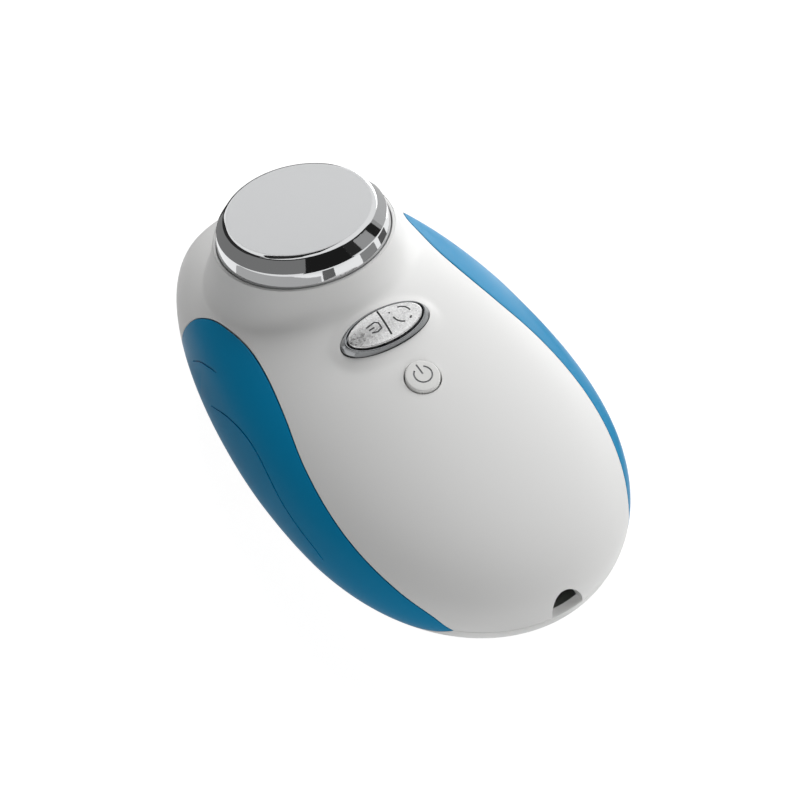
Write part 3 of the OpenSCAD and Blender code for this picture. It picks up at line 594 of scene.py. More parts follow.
def top_shell_section(angle):
    """Closed section of the top shell at one angle: skin, lip, bore, ledge and cavity."""
    foot = level_point(angle, 0, True)
    edge = neck_plan(angle)
    points = parting_edge(foot, Vector((edge[0] - foot[0], edge[1] - foot[1])).normalized(), 1)
    for k in range(1, skin_rows):
        x, y = between(foot, edge, (1 - math.cos(math.pi * k / skin_rows)) / 2)
        points.append(at(x, y, skin_z(x, y)))
    for a in quarter_turn(4):
        points.append(on_head(neck_r - lip_round + lip_round * math.cos(a), angle,
                              -lip_round + lip_round * math.sin(a)))
    bore_r = seat_r + fit_gap
    for a in quarter_turn(3):
        points.append(on_head(bore_r + bore_round - bore_round * math.sin(a), angle,
                              -bore_round + bore_round * math.cos(a)))
    for radius, depth in ((bore_r, ledge_top), (spigot_r + fit_gap, ledge_top),
                          (spigot_r + fit_gap, ledge_bottom), (clamp_r + fit_gap, ledge_bottom)):
        points.append(on_head(radius, angle, -depth))
    last = points[-1]
    inner_foot = level_point(angle, 0, True, cavity_inset)
    inner_edge = (last.x / MM, last.y / MM)
    for k in range(1, crown_cavity_rows + 1):
        x, y = between(inner_foot, inner_edge, (1 + math.cos(math.pi * k / crown_cavity_rows)) / 2)
        z = crown_z(x, y, cavity_inset) if k < crown_cavity_rows else 0
        points.append(at(x, y, min(z, last.z / MM - split_z - cavity_drop)))
    return points


def bottom_shell_section(angle):
    """Closed section of the bottom shell at one angle, from the middle of the belly round to its inside."""
    flat = level_point(angle, -split_z, False)
    points = [at(*between((belly_x, 0), flat, k / flat_rows), -split_z) for k in range(flat_rows)]
    for k in range(belly_rows):
        z = -split_z * math.cos(math.pi / 2 * k / belly_rows)
        points.append(at(*level_point(angle, z, False)))
    foot = level_point(angle, 0, False)
    points += parting_edge(foot, Vector((belly_x - foot[0], -foot[1])).normalized(), -1)[::-1]
    floor_z = split_z - wall
    for k in range(belly_cavity_rows):
        z = -floor_z * math.sin(math.pi / 2 * k / belly_cavity_rows)
        points.append(at(*level_point(angle, z, False, cavity_inset)))
    return points + [at(belly_x, 0, -floor_z)]


def shell(name, section_at):
    sections = [section_at(ring_angle(i, shell_columns)) for i in range(shell_columns)]
    return loop_form(name, shell_columns, len(sections[0]), lambda i, j: sections[i][j])


form_columns = 128
form_rows = 32
form_inset = (0.7, 0.7, 0.7)


def solid_form(name, crown):
    """The whole half of the housing as a solid, a little below its skin."""
    height = (crown_height if crown else split_z) - form_inset[2]
    sign = 1 if crown else -1

    def place(i, j):
        if j == 0:
            return at(0, 0, 0)
        z = height * math.sin(math.pi / 2 * (j - 1) / (form_rows - 1))
        return at(*level_point(ring_angle(i, form_columns), sign * z, crown, form_inset))

    return loop_form(name, form_columns, form_rows + 1, place)


def post(radius, low, high, x, y):
    return move(cylinder("post", radius, low, high, 48), to_place(x, y, 0))


def slab(x, y, low, high):
    """A block between two corners in plan and two heights, about the parting plane."""
    deselect()
    bpy.ops.mesh.primitive_cube_add(size=1)
    middle = at((x[0] + x[1]) / 2, (y[0] + y[1]) / 2, (low + high) / 2)
    size = Matrix.Diagonal(((x[1] - x[0]) * MM, (y[1] - y[0]) * MM, (high - low) * MM, 1))
    return move(just_added("slab"), Matrix.Translation(middle) @ size)


def keep_inside(housing, crown, supports):
    """Joins what stays solid inside the housing, each support trimmed by the housing's own form."""
    form = solid_form("form", crown)
    for support in supports:
        cut(support, form, keep=True, operation="INTERSECT")
        cut(housing, support, operation="UNION")
    bpy.data.objects.remove(form)


def belly_z(x, y):
    """Height of the lower skin."""
    return -belly_at(x) * section(y, width_at(x))


mouth_columns = 160
mouth_rise = 2


def mouth(name, outline, middle, height, out, deep, rounding):
    """Cutter for a hole whose mouth is rounded along the curved skin."""
    steps = [(rounding * (1 - math.cos(a)), rounding * (math.sin(a) - 1)) for a in quarter_turn(4)]
    steps.append((rounding, mouth_rise))
    top = height(*middle) + out * 2 * mouth_rise

    def place(i, j):
        angle = 2 * math.pi * i / mouth_columns
        if j == 0:
            return at(*middle, deep)
        if j == 1:
            return at(*outline(angle, 0), deep)
        if j == len(steps) + 2:
            return at(*middle, top)
        grow, rise = steps[j - 2]
        x, y = outline(angle, grow)
        return at(x, y, height(x, y) + out * rise)

    return loop_form(name, mouth_columns, len(steps) + 3, place)


def outline_of_hole(x, y, half_x, half_y):
    """Outline of a round or oval hole: its place at an angle, moved outward by grow."""
    return lambda angle, grow: (x + (half_x + grow) * math.cos(angle),
                                y + (half_y + grow) * math.sin(angle))


# ---- Side grips ----

grip_columns = 300
grip_rows = 104
grip_round = 0.3
pocket_columns = 240
pocket_rows = 40
pocket_proud = 1.0
crease_w = 0.3
crease_depth = 0.45
crease_start = 0.3
crease_rise = (6, 3)
facet_depth = 0.32
facet_w = 12
facet_fade = 16
crease_paths = (
    ((-33.1, 4.5), (-30.1, 6.9), (-27.1, 8.4), (-23.4, 10)),
    ((-19.8, 4.1), (-14.7, 6.6), (-8.9, 8.3), (-4, 8.9), (0.4, 8.8), (4.6, 8.2), (9.1, 7.2), (13.9, 6.1),
     (20, 5), (26.7, 3.9), (30, 2.9)))


def curve_through(points, steps=8):
    """Points of a smooth curve through given points."""
    ends = [Vector(p) for p in points]
    ends = [2 * ends[0] - ends[1]] + ends + [2 * ends[-1] - ends[-2]]
    path = []
    for k in range(1, len(ends) - 2):
        p0, p1, p2, p3 = ends[k - 1:k + 3]
        for step in range(steps):
            t = step / steps
            path.append(0.5 * (2 * p1 + (p2 - p0) * t + (2 * p0 - 5 * p1 + 4 * p2 - p3) * t * t
                               + (3 * p1 - p0 - 3 * p2 + p3) * t ** 3))
    path.append(ends[-2])
    return path


crease_curves = [curve_through(path) for path in crease_paths]


def facet(x, z):
    """Depth of the shallow facets that fall away below the grip's creases."""
    deepest = 0
    for path in crease_curves:
        if not path[0].x - facet_w < x < path[-1].x + facet_w:
            continue
        nearest = None
        for k in range(len(path) - 1):
            along = path[k + 1] - path[k]
            p = Vector((x, z)) - path[k]
            t = min(max(p.dot(along) / along.length_squared, 0), 1)
            away = (p - along * t).length
            if nearest is None or away < nearest[0]:
                nearest = (away, along.x * p.y - along.y * p.x, (k + t) / (len(path) - 1))
        away, side, share = nearest
        if side > 0:
            continue
        part = min(away / facet_w, 1)
        # a hump of height 1, a third of the way down the facet
        hump = 27 / 4 * part * (1 - part) ** 2
        reach = (path[-1] - path[0]).length / facet_fade
        ends = min(share * reach, (1 - share) * reach, 1)
        deepest = max(deepest, facet_depth * hump * ends * ends * (3 - 2 * ends))
    return deepest


def flank_point(x, z):
    """Point of the flank at height z."""
    height = crown_at(x) if z > 0 else belly_at(x)
    return x, width_at(x) * power_arc(min(abs(z) / height, 1), section_power, section_power), z


grip_edges = {1: curve_through(grip_upper, 24), -1: curve_through(grip_lower, 24)}


def grip_edge(turn, grow):
    """Point of the grip's outline at an angle of the grid, moved outward by grow."""
    up = 1 if turn >= 0 else -1
    path = grip_edges[up]
    place = (1 - abs(turn) / math.pi) * (len(path) - 1)
    k = min(int(place), len(path) - 2)
    along = (path[k + 1] - path[k]).normalized()
    x, z = path[k].lerp(path[k + 1], place - k)
    return x - up * along.y * grow, z + up * along.x * grow


def grip_place(a, b, grow):
    """Maps the square -1..1 onto the grip's outline and lays it on the flank."""
    u = a * math.sqrt(1 - b * b / 2)
    v = b * math.sqrt(1 - a * a / 2)
    share = min(math.hypot(u, v), 1)
    x, z = grip_edge(math.atan2(v, u), grow)
    return flank_point(grip_middle_x + (x - grip_middle_x) * share, z * share)


def grip_sheet(name, side, columns, rows, grow, outside, inside, creased=False):
    """A grid laid on the flank and thickened along its normals, outside and inside the flank."""
    deselect()
    bpy.ops.mesh.primitive_grid_add(x_subdivisions=columns, y_subdivisions=rows, size=2)
    piece = just_added(name)
    for vertex in piece.data.vertices:
        x, y, z = grip_place(vertex.co.x, vertex.co.y, grow)
        if creased:
            y -= facet(x, z)
        vertex.co = at(x, side * y, z)
    if side > 0:
        bpy.ops.object.mode_set(mode="EDIT")
        bpy.ops.mesh.select_all(action="SELECT")
        bpy.ops.mesh.flip_normals()
        bpy.ops.object.mode_set(mode="OBJECT")
    finish_with(piece, "SOLIDIFY", thickness=(outside + inside) * MM,
                offset=(outside - inside) / (outside + inside))
    return piece


def crease_tool(path, side):
    """Thin blade that cuts one crease into the flank, shallow at its two ends."""

    def low(x, y):
        z = -side * y
        along = min((x - path[0].x) / (path[-1].x - path[0].x), 1)
        share = min(crease_start + crease_rise[0] * along, crease_start + crease_rise[1] * (1 - along), 1)
        return flank_point(x, z)[1] - facet(x, z) - crease_depth * share

    blade = ribbon("blade", [(x, -side * z) for x, z in path], crease_w, low, crease_depth + 1)
    return move(blade, to_place(0, 0, 0) @ Matrix.Rotation(-side * math.pi / 2, 4, "X"))


def make_grip(name, side):
    piece = grip_sheet(name, side, grip_columns, grip_rows, -grip_play, 0, grip_thick - 2 * grip_play,
                       creased=True)
    for path in crease_curves:
        cut(piece, crease_tool(path, side))
    finish_with(piece, "BEVEL", width=grip_round * MM, segments=3, limit_method="ANGLE",
                angle_limit=math.radians(60))
    smooth(piece)
    return piece


# ---- Treatment head ----

head_faces = 192
spigot_end = 4.75
plate_round = 0.9
rim_round = 0.3
satin_reach = 0.05 * MM
ring_reach = 0.02 * MM


def clear_selection(piece, kind):
    """Deselects all of the piece's mesh, so that its faces or edges can be picked in code."""
    pick(piece)
    bpy.ops.object.mode_set(mode="EDIT")
    bpy.ops.mesh.select_mode(type=kind)
    bpy.ops.mesh.select_all(action="DESELECT")
    bpy.ops.object.mode_set(mode="OBJECT")


def select_cap(piece, up):
    """Opens the piece for editing with its upper or lower end face selected."""
    clear_selection(piece, "FACE")
    end = max(face.center.z * up for face in piece.data.polygons)
    for face in piece.data.polygons:
        face.select = face.center.z * up > end - 1e-7
    bpy.ops.object.mode_set(mode="EDIT")


def draw_out(radius, steps):
    """Carries the selected end face through a list of (radius, rise), one extrusion each."""
    for new_radius, rise in steps:
        bpy.ops.mesh.extrude_region_move(
            TRANSFORM_OT_translate={"value": (0, 0, rise * MM), "orient_type": "GLOBAL"})
        scale = new_radius / radius
        bpy.ops.transform.resize(value=(scale, scale, 1), center_override=(0, 0, 0))
        radius = new_radius
    bpy.ops.object.mode_set(mode="OBJECT")


def bevel_ring(piece, radius, height, width, segments):
    """Rounds the ring of edges at one radius and height."""
    clear_selection(piece, "EDGE")

    def on_ring(index):
        co = piece.data.vertices[index].co
        return max(abs(co.z - height * MM), abs(math.hypot(co.x, co.y) - radius * MM)) < ring_reach

    for edge in piece.data.edges:
        edge.select = on_ring(edge.vertices[0]) and on_ring(edge.vertices[1])
    bpy.ops.object.mode_set(mode="EDIT")
    bpy.ops.mesh.bevel(offset=width * MM, segments=segments, affect="EDGES")
    bpy.ops.object.mode_set(mode="OBJECT")


def make_head(chrome_side, chrome_face):
    piece = cylinder("chrome_head", seat_r, -skirt_depth, 0, head_faces)
    select_cap(piece, 1)
    draw_out(seat_r, [(rim_r, rim_h), (plate_r, plate_h - rim_h)])
    select_cap(piece, -1)
    draw_out(seat_r, [(spigot_r, 0), (spigot_r, skirt_depth - spigot_end), (spigot_r - spigot_wall, 0),
                      (spigot_r - spigot_wall, spigot_end + plate_h - plate_t)])
    bevel_ring(piece, rim_r, rim_h, rim_round, 4)
    bevel_ring(piece, plate_r, plate_h, plate_round, 8)
    dress(piece, chrome_side)
    piece.data.materials.append(chrome_face)
    for face in piece.data.polygons:
        face.material_index = int(face.center.z > plate_h * MM - satin_reach and face.normal.z > 0.9)
    smooth(piece, 28)
    return move(piece, to_head)


# ---- Rocker, bezel and power key ----

oval_columns = 176


def oval_form(name, rings):
    """A closed loft through oval rings of (half length on x, half length on y, height)."""

    def place(i, j):
        angle = 2 * math.pi * i / oval_columns
        half_x, half_y, z = rings[j]
        return Vector((half_x * math.cos(angle), half_y * math.sin(angle), z)) * MM

    return loop_form(name, oval_columns, len(rings), place)


def rounded(half_x, half_y, top, radius, outward, steps=4):
    """Rings that round an edge from its wall onto its top, on the outer or the inner side."""
    sign = 1 if outward else -1
    arc = quarter_turn(steps) if outward else quarter_turn(steps)[::-1]
    return [(half_x - sign * radius * (1 - math.cos(a)), half_y - sign * radius * (1 - math.cos(a)),
             top - radius * (1 - math.sin(a))) for a in arc]


def make_bezel():
    bottom = crown_height - bezel_depth
    top = crown_height + bezel_h
    rim_x = bezel_half_w - bezel_lean[0]
    rim_y = bezel_half_l - bezel_lean[1]
    inner_x = bezel_half_w - rim_wall
    inner_y = bezel_half_l - bezel_wall
    ledge = crown_height + bezel_ledge
    rings = [(bezel_half_w, bezel_half_l, bottom), (bezel_half_w, bezel_half_l, crown_height + bezel_foot)]
    rings += rounded(rim_x, rim_y, top, rim_outer_round, True)
    rings += rounded(inner_x, inner_y, top, rim_inner_round, False, 2)
    rings += [(inner_x, inner_y, ledge), (bezel_half_w - bezel_wall, inner_y, ledge),
              (bezel_half_w - bezel_wall, inner_y, bottom)]
    return move(oval_form("rocker_bezel_ring", rings), to_rocker)


dome_rings = 16
mark_w = 0.4
mark_depth = 0.2
divider_w = 0.46
divider_depth = 0.45
divider_ends = ((-4.1, 0.5), (3.25, -0.4))
divider_steps = 12
pulse_marks = [[(-1.2, -4.4), (-1.6, -1.9), (-1.0, -1.2), (0.7, -1.4), (1.1, -2.7), (0.65, -4.0)],
               [(-0.25, -4.2), (-0.35, -2.7)]]
# arcs about the centre of the cycle mark: radius, first and last angle, steps
cycle_centre = (-0.27, 4.8)
cycle_arcs = ((2.2, 88, 176, 20), (2.2, -98, -13, 20), (2.2, 24, 46, 4), (2.9, -132, -123, 2))
standby_centre = (-0.25, 0.25)
standby_arc = (2.1, -145, 145, 40)
standby_bar = (-2.9, -0.1)


def arc_points(centre, radius, start, end, steps):
    angles = [math.radians(start + (end - start) * k / steps) for k in range(steps + 1)]
    return [(centre[0] + radius * math.cos(a), centre[1] + radius * math.sin(a)) for a in angles]


def engrave(piece, marks, groove_shade, low, place=Matrix.Identity(4), width=mark_w):
    """Cuts thin marks into a face and paints shade on their floors."""
    for points in marks:
        tool = ribbon("mark", points, width, low, 1)
        tool.data.materials.append(groove_shade)
        cut(piece, move(tool, place), solver="EXACT")


def make_rocker(silver, groove_shade):
    body_x = bezel_half_w - bezel_wall - rocker_gap
    face_x = bezel_half_w - rim_wall - rocker_gap
    half_y = bezel_half_l - bezel_wall - rocker_gap
    bottom = pivot_z - pivot_r - pivot_wall
    skirt = crown_height + rocker_skirt
    top = crown_height + rocker_h - rocker_crown
    rings = [(0, 0, bottom), (body_x, half_y, bottom), (body_x, half_y, skirt), (face_x, half_y, skirt),
             (face_x, half_y, top - rocker_bevel)]
    edge_x = face_x - rocker_bevel / 2
    edge_y = half_y - rocker_bevel
    for a in quarter_turn(5)[1:-1]:
        inward = rocker_bevel * (1 - math.cos(a))
        rings.append((face_x - inward / 2, half_y - inward, top - rocker_bevel * (1 - math.sin(a))))
    for k in range(dome_rings):
        share = 1 - k / dome_rings
        rings.append((edge_x * share, edge_y * share, top + rocker_crown * (1 - share * share)))
    rings.append((0, 0, top + rocker_crown))
    piece = oval_form("silver_rocker", rings)
    for side in (-1, 1):
        foot = cylinder("foot", foot_r, foot_bottom, bottom + pivot_wall, 48)
        cut(piece, move(foot, Matrix.Translation((0, side * foot_y * MM, 0))), operation="UNION")
    dress(piece, silver)

    def face_z(x, y):
        return top + rocker_crown * (1 - (x / edge_x) ** 2 - (y / edge_y) ** 2)

    marks = pulse_marks + [arc_points(cycle_centre, *arc) for arc in cycle_arcs]
    divider = [between(*divider_ends, k / divider_steps) for k in range(divider_steps + 1)]
    # the marks and the deeper divider carry painted shade on their floors
    engrave(piece, marks, groove_shade, lambda x, y: face_z(x, y) - mark_depth)
    engrave(piece, [divider], groove_shade, lambda x, y: face_z(x, y) - divider_depth, width=divider_w)
    smooth(piece, 30)
    return move(piece, to_rocker)


def make_power_key(white, groove_shade):
    top = crown_at(power_x) + power_h
    piece = cylinder("white_power_key", key_r, foot_bottom + flange_h, top + key_r, 144)
    on_face = Matrix.Translation((0, 0, top * MM)) @ Matrix.Rotation(power_slope, 4, "Y")
    select_cap(piece, 1)
    bpy.ops.mesh.select_all(action="SELECT")
    bpy.ops.mesh.bisect(plane_co=on_face.translation, plane_no=on_face.to_3x3() @ Vector((0, 0, 1)),
                        use_fill=True, clear_outer=True)
    bpy.ops.object.mode_set(mode="OBJECT")
    select_cap(piece, 1)
    bpy.ops.mesh.select_mode(type="EDGE")
    bpy.ops.mesh.bevel(offset=key_round * MM, segments=5, affect="EDGES")
    bpy.ops.object.mode_set(mode="OBJECT")
    flange = cylinder("flange", flange_r, foot_bottom, foot_bottom + flange_h + overlap)
    cut(piece, flange, operation="UNION")
    dress(piece, white)
    x, y = standby_centre
    standby = [arc_points(standby_centre, *standby_arc), [(x + end, y) for end in standby_bar]]
    # the standby mark carries paler painted shade on its floor
    engrave(piece, standby, groove_shade, lambda x, y: -mark_depth, on_face)
    smooth(piece, 30)
    return move(piece, to_power)


# ---- Camera, light and floor ----

view_azimuth = math.radians(56.46)
view_elevation = math.radians(54.09)
view_roll = math.radians(-0.21)
view_distance = 0.5474
view_centre = Vector((0, 0, split_z * MM))
lamp_aim = Vector((0, 0, 0.02))
lamp_side = 0.4
card_reach = 1.2


def direction(azimuth, elevation):
    """The way out to an azimuth, which counts from -Y towards +X, and an elevation."""
    return Vector((math.cos(elevation) * math.sin(azimuth), -math.cos(elevation) * math.cos(azimuth),
                   math.sin(elevation)))


def look_along(azimuth, elevation, roll):
    """Rotation of a camera that looks at the object from an azimuth and an elevation."""
    back = direction(azimuth, elevation)
    right = Vector((0, 0, 1)).cross(back).normalized()
    up = back.cross(right)
    right, up = (right * math.cos(roll) + up * math.sin(roll), up * math.cos(roll) - right * math.sin(roll))
    return Matrix((right, up, back)).transposed(), back


def add_camera():
    rotation, back = look_along(view_azimuth, view_elevation, view_roll)
    data = bpy.data.cameras.new("camera")
    camera = bpy.data.objects.new("camera", data)
    bpy.context.scene.collection.objects.link(camera)
    camera.matrix_world = Matrix.Translation(view_centre + back * view_distance) @ rotation.to_4x4()
    data.sensor_width = 36
    data.lens = 103.9
    data.shift_x = 0.00785
    data.shift_y = -0.00099
    data.clip_start = 0.01
    data.clip_end = 10
    bpy.context.scene.camera = camera
    return rotation


def bare_material(name):
    """A material without a shader, for what lights or carries the object."""
    material = bpy.data.materials.new(name)
    material.use_nodes = True
    material.node_tree.nodes.clear()
    return material, material.node_tree


def seen_or_reflected(tree):
    """1 for rays that see, mirror or pass through to the surface, 0 for rays that light the object."""
    path = add_node(tree, "ShaderNodeLightPath")
    total = path.outputs["Is Camera Ray"]
    for other in ("Is Glossy Ray", "Is Transmission Ray"):
        total = add_node(tree, "ShaderNodeMath", {"operation": "MAXIMUM"},
                         links={0: total, 1: path.outputs[other]}).outputs["Value"]
    return total


def white_world(strength):
    """An even white studio: white where it is seen or mirrored, and a plain soft light elsewhere."""
    world = bpy.data.worlds.new("studio")
    bpy.context.scene.world = world
    world.use_nodes = True
    tree = world.node_tree
    back = tree.nodes["Background"]
    back.inputs["Color"].default_value = (1, 1, 1, 1)
    level = add_node(tree, "ShaderNodeMapRange", values={"To Min": strength, "To Max": 1.0},
                     links={"Value": seen_or_reflected(tree)})
    tree.links.new(level.outputs["Result"], back.inputs["Strength"])


def white_floor():
    """A matt white table: white to the camera save for a faint shadow, and clear from below."""
    deselect()
    bpy.ops.mesh.primitive_circle_add(vertices=96, radius=3, fill_type="NGON")
    floor = just_added("floor")
    material, tree = bare_material("white_table")
    matt = add_node(tree, "ShaderNodeBsdfDiffuse", values={"Color": (0.85, 0.85, 0.85, 1)})
    shaded = add_node(tree, "ShaderNodeBsdfDiffuse", values={"Color": (0.2, 0.2, 0.2, 1)})
    glow = add_node(tree, "ShaderNodeEmission", values={"Strength": 0.94})
    white = add_node(tree, "ShaderNodeAddShader",
                     links={0: shaded.outputs["BSDF"], 1: glow.outputs["Emission"]})
    face = add_node(tree, "ShaderNodeMixShader", links={
        0: seen_or_reflected(tree), 1: matt.outputs["BSDF"], 2: white.outputs["Shader"]})
    clear = add_node(tree, "ShaderNodeBsdfTransparent")
    below = add_node(tree, "ShaderNodeNewGeometry")
    both = add_node(tree, "ShaderNodeMixShader", links={
        0: below.outputs["Backfacing"], 1: face.outputs["Shader"], 2: clear.outputs["BSDF"]})
    add_node(tree, "ShaderNodeOutputMaterial", links={"Surface": both.outputs["Shader"]})
    floor.data.materials.append(material)


rotation = add_camera()
white_world(0.15)
white_floor()

head_top = at(head_x, 0, seat_height + rim_h)
cards = []


def patch(azimuths, elevations):
    """A card between two azimuths and two elevations, in degrees."""
    return lambda u, v: (azimuths[0] + (azimuths[1] - azimuths[0]) * u,
                         elevations[0] + (elevations[1] - elevations[0]) * v)


def mirrored(angle):
    """Azimuth and elevation that the camera sees mirrored in the head's bevel, in degrees."""
    turn = math.radians(angle)
    slope = math.atan2(rim_r - plate_r, plate_h - rim_h)
    out = on_head(math.cos(slope), turn, math.sin(slope)) - on_head(0, 0, 0)
    back = rotation @ Vector((0, 0, 1))
    way = (2 * out.normalized().dot(back) * out.normalized() - back).normalized()
    return math.degrees(math.atan2(way.x, -way.y)), math.degrees(math.asin(way.z))


def along_bevel(angles, lift):
    """A card that the bevel mirrors between two of its angles, from one lift over that line to another."""
    def place(u, v):
        azimuth, elevation = mirrored(angles[0] + (angles[1] - angles[0]) * u)
        return azimuth, elevation + lift[0] + (lift[1] - lift[0]) * v
    return place


def card(name, tone, place):
    """A grey card that only mirrors see: it stands off the head, and lies on the table where it is low.

    Each new card stands a little nearer than the one before, so that two of them never share a plane.
    """
    deselect()
    bpy.ops.mesh.primitive_grid_add(x_subdivisions=32, y_subdivisions=24, size=1)
    sheet = just_added(name)
    nearer = 0.98 - 0.01 * len(cards)
    for vertex in sheet.data.vertices:
        way = direction(*(math.radians(a) for a in place(vertex.co.x + 0.5, vertex.co.y + 0.5)))
        reach = min(card_reach, head_top.z / max(-way.z, 0.001))
        vertex.co = head_top + way * reach * nearer
    material, tree = bare_material(name + "_tone")
    glow = add_node(tree, "ShaderNodeEmission", values={"Color": (tone, tone, tone, 1)})
    add_node(tree, "ShaderNodeOutputMaterial", links={"Surface": glow.outputs["Emission"]})
    sheet.data.materials.append(material)
    for kind in ("camera", "diffuse", "transmission", "volume_scatter", "shadow"):
        setattr(sheet, "visible_" + kind, False)
    cards.append(sheet)


card("far_dark", 0.03, patch((232, 285), (-62, -8)))
card("right_bright", 3.5, patch((183, 226), (-26, 4)))
card("near_low_pale", 0.5, patch((-22, 76), (-60, -6)))
card("left_grey", 0.22, along_bevel((-125, -29), (-9, 14)))
card("left_edge_dark", 0.03, along_bevel((-125, -29), (13, 32)))
card("far_left_edge_dark", 0.03, along_bevel((-125, -78), (9, 46)))
card("right_soft_grey", 0.38, along_bevel((5, 42), (-12, 9)))
card("near_black", 0.015, along_bevel((-29, 4), (-24, 30)))
card("near_taper", 0.03, along_bevel((4, 14), (-4, 30)))
card("near_edge_dark", 0.03, along_bevel((14, 38), (8, 26)))
card("right_black", 0.02, along_bevel((29, 38), (-10, 9)))
card("right_grey", 0.54, along_bevel((42, 80), (-12, 10)))
card("tail_dark", 0.15, patch((78, 92), (-20, 2)))
card("tail_grey", 0.3, patch((126, 148), (-25, -4)))
card("tail_black", 0.12, patch((155, 170), (-30, -14)))
card("key_dark", 0.03, patch((234, 340), (50, 80)))


def softbox(name, from_view, power):
    """A square soft lamp, placed by the view's right, up and back, in metres from the object.

    No mirror shows it, so that the chrome has only the cards.
    """
    data = bpy.data.lights.new(name, "AREA")
    data.size = lamp_side
    data.energy = power
    lamp = bpy.data.objects.new(name, data)
    bpy.context.scene.collection.objects.link(lamp)
    place = rotation @ Vector(from_view) + view_centre
    turn = (lamp_aim - place).normalized().to_track_quat("-Z", "Y")
    lamp.matrix_world = Matrix.Translation(place) @ turn.to_matrix().to_4x4()
    lamp.visible_camera = False
    lamp.visible_glossy = False


softbox("back_lamp", (0.0, 0.75, 0.07), 3.9)
softbox("side_lamp", (0.65, 0.37, 0.07), 2.42)
softbox("front_lamp", (0.22, -0.37, 0.62), 1.72)

bpy.context.scene.view_settings.view_transform = "Standard"

# ---- Assembly ----

abs_white = white_abs()
key_white = white_key_abs()
elastomer = blue_elastomer()
# painted shade for the floors of engraved marks: darker on the rocker, paler on the white key
dark_groove_shade = painted_groove_shade("dark_grey_painted_groove_shade", "#606163")
pale_groove_shade = painted_groove_shade("pale_grey_painted_groove_shade", "#97989A")


def fit(piece, body, node):
    """Says what the piece rides on and which node it stands for, and hides that node."""
    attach(piece, body)
    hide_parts(node)


def make_top_shell():
    piece = shell("top_shell", top_shell_section)
    supports = [post(top_boss_r, seam, crown_height, x, y) for x, y in boss_places]
    deck_size = Matrix.Diagonal((bezel_half_w + deck_margin, bezel_half_l + deck_margin, 1, 1))
    supports.append(move(cylinder("deck", 1, deck_bottom, crown_height, 128), to_rocker @ deck_size))
    supports.append(post(guide_r + guide_wall, guide_bottom, crown_height, power_x, 0))
    supports.append(slab((inlet_x, half_l), (-inlet_block, inlet_block), seam, crown_height))
    keep_inside(piece, True, supports)
    for x, y in boss_places:
        cut(piece, post(screw_r + pilot_gap, -1, pilot_top, x, y))
    for side in (-1, 1):
        cut(piece, post(foot_r + foot_play, deck_bottom - 1, crown_height, rocker_x, side * foot_y))
    cut(piece, post(guide_r, 0, guide_top, power_x, 0))
    bezel_hole = outline_of_hole(rocker_x, 0, bezel_half_w + fit_gap, bezel_half_l + fit_gap)
    cut(piece, mouth("bezel_mouth", bezel_hole, (rocker_x, 0), skin_z, out=1,
                     deep=crown_height - bezel_depth, rounding=0.15))
    key_hole = outline_of_hole(power_x, 0, key_r + key_gap, key_r + key_gap)
    cut(piece, mouth("power_mouth", key_hole, (power_x, 0), skin_z, out=1, deep=foot_bottom, rounding=0.25))
    return piece


def make_bottom_shell():
    piece = shell("bottom_shell", bottom_shell_section)
    keep_inside(piece, False, [post(bottom_boss_r, -belly_depth, -seam, x, y) for x, y in boss_places])
    for x, y in boss_places:
        well = outline_of_hole(x, y, well_r, well_r)
        cut(piece, mouth("well_mouth", well, (x, y), belly_z, out=-1, deep=shelf_z, rounding=0.3))
        cut(piece, post(screw_r + shank_gap, -belly_depth, 1, x, y))
    return piece


def inlet_arch():
    """Cutter of the arched way in: a half-round top on straight sides."""
    tunnel = cylinder("arch", arch_r, inlet_x, half_l + 10, 96)
    move(tunnel, to_place(0, 0, arch_z) @ Matrix.Rotation(math.pi / 2, 4, "Y"))
    cut(tunnel, slab((inlet_x, half_l + 10), (-arch_r, arch_r), -1, arch_z), operation="UNION")
    return tunnel


top_shell = make_top_shell()
bottom_shell = make_bottom_shell()
cut(top_shell, inlet_arch())
for side in (-1, 1):
    pocket = grip_sheet("pocket", side, pocket_columns, pocket_rows, fit_gap, pocket_proud,
                        grip_thick + fit_gap)
    cut(top_shell, pocket, keep=True)
    cut(bottom_shell, pocket)
for piece, node in ((top_shell, "top_housing"), (bottom_shell, "bottom_housing")):
    smooth(piece)
    dress(piece, abs_white)
    fit(piece, "housing", node)

for side, name in ((-1, "left"), (1, "right")):
    grip = make_grip(name + "_soft_grip", side)
    dress(grip, elastomer)
    fit(grip, "housing", name + "_grip")

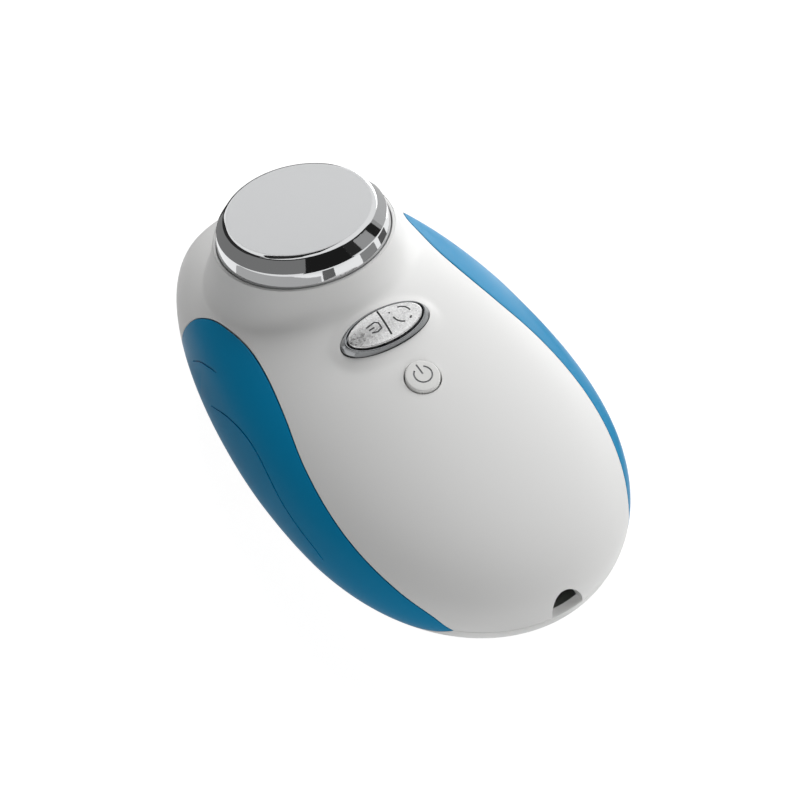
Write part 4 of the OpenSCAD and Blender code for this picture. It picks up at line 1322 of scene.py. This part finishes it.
fit(make_head(chrome(), satin_chrome()), "housing", "treatment_head")
bezel = make_bezel()
smooth(bezel, 30)
dress(bezel, dark_chrome())
fit(bezel, "housing", "rocker_bezel")
fit(make_rocker(flaked_silver(), dark_groove_shade), "rocker", "rocker_key")
fit(make_power_key(key_white, pale_groove_shade), "power_button", "power_key")

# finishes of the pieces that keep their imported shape
node_looks = {
    moulded("zinc_plated_steel", "#B9BCBE", 0.3, 0.3, 0.05, 1.0): [
        "head_screws", "key_board_screws", "board_screws", "housing_screws"],
    moulded("ground_steel_pin", "#C4C6C8", 0.18, 0.2, 0.04, 1.0): ["rocker_pivot_pin"],
    moulded("natural_abs", "#E0DDD2", 0.5): ["head_clamp_ring", "disc_retainer"],
    moulded("black_silicone_rubber", "#202122", 0.6, 0.3, 0.1): ["head_gasket"],
    moulded("brass_backed_ceramic", "#C9A44A", 0.3, 0.25, 0.08, 1.0): ["ultrasonic_disc"],
    moulded("black_nylon", "#1C1D1F", 0.45, 0.3, 0.08): [
        "left_mode_switch", "right_mode_switch", "power_switch", "inlet_socket", "board_link"],
    moulded("ivory_acetal", "#E6E0CC", 0.4): [
        "left_switch_plunger", "right_switch_plunger", "power_switch_plunger", "battery_plug", "head_plug"],
    moulded("black_moulding_epoxy", "#17181A", 0.55, 0.2, 0.12): ["control_chips"],
    moulded("blue_shrink_sleeve", "#1E3E78", 0.3): ["capacitors"],
    moulded("aluminium_laminate_pouch", "#B4B8BC", 0.35, 1.5, 0.12, 0.8): ["battery"],
    moulded("grey_polyurethane_foam", "#55575A", 0.9, 0.4, 0.5): ["battery_pad"],
    moulded("red_pvc_insulation", "#A3211C", 0.4): ["battery_leads"],
    moulded("blue_pvc_insulation", "#2450A6", 0.4): ["head_leads"],
    moulded("gold_plated_brass", "#D9B45A", 0.2, 0.3, 0.04, 1.0): ["inlet_pin"],
    circuit_board(): ["key_board", "main_board"],
    wound_ferrite(): ["drive_transformer"]}
for material, names in node_looks.items():
    for name in names:
        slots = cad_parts[name].data.materials
        slots.clear()
        slots.append(material)
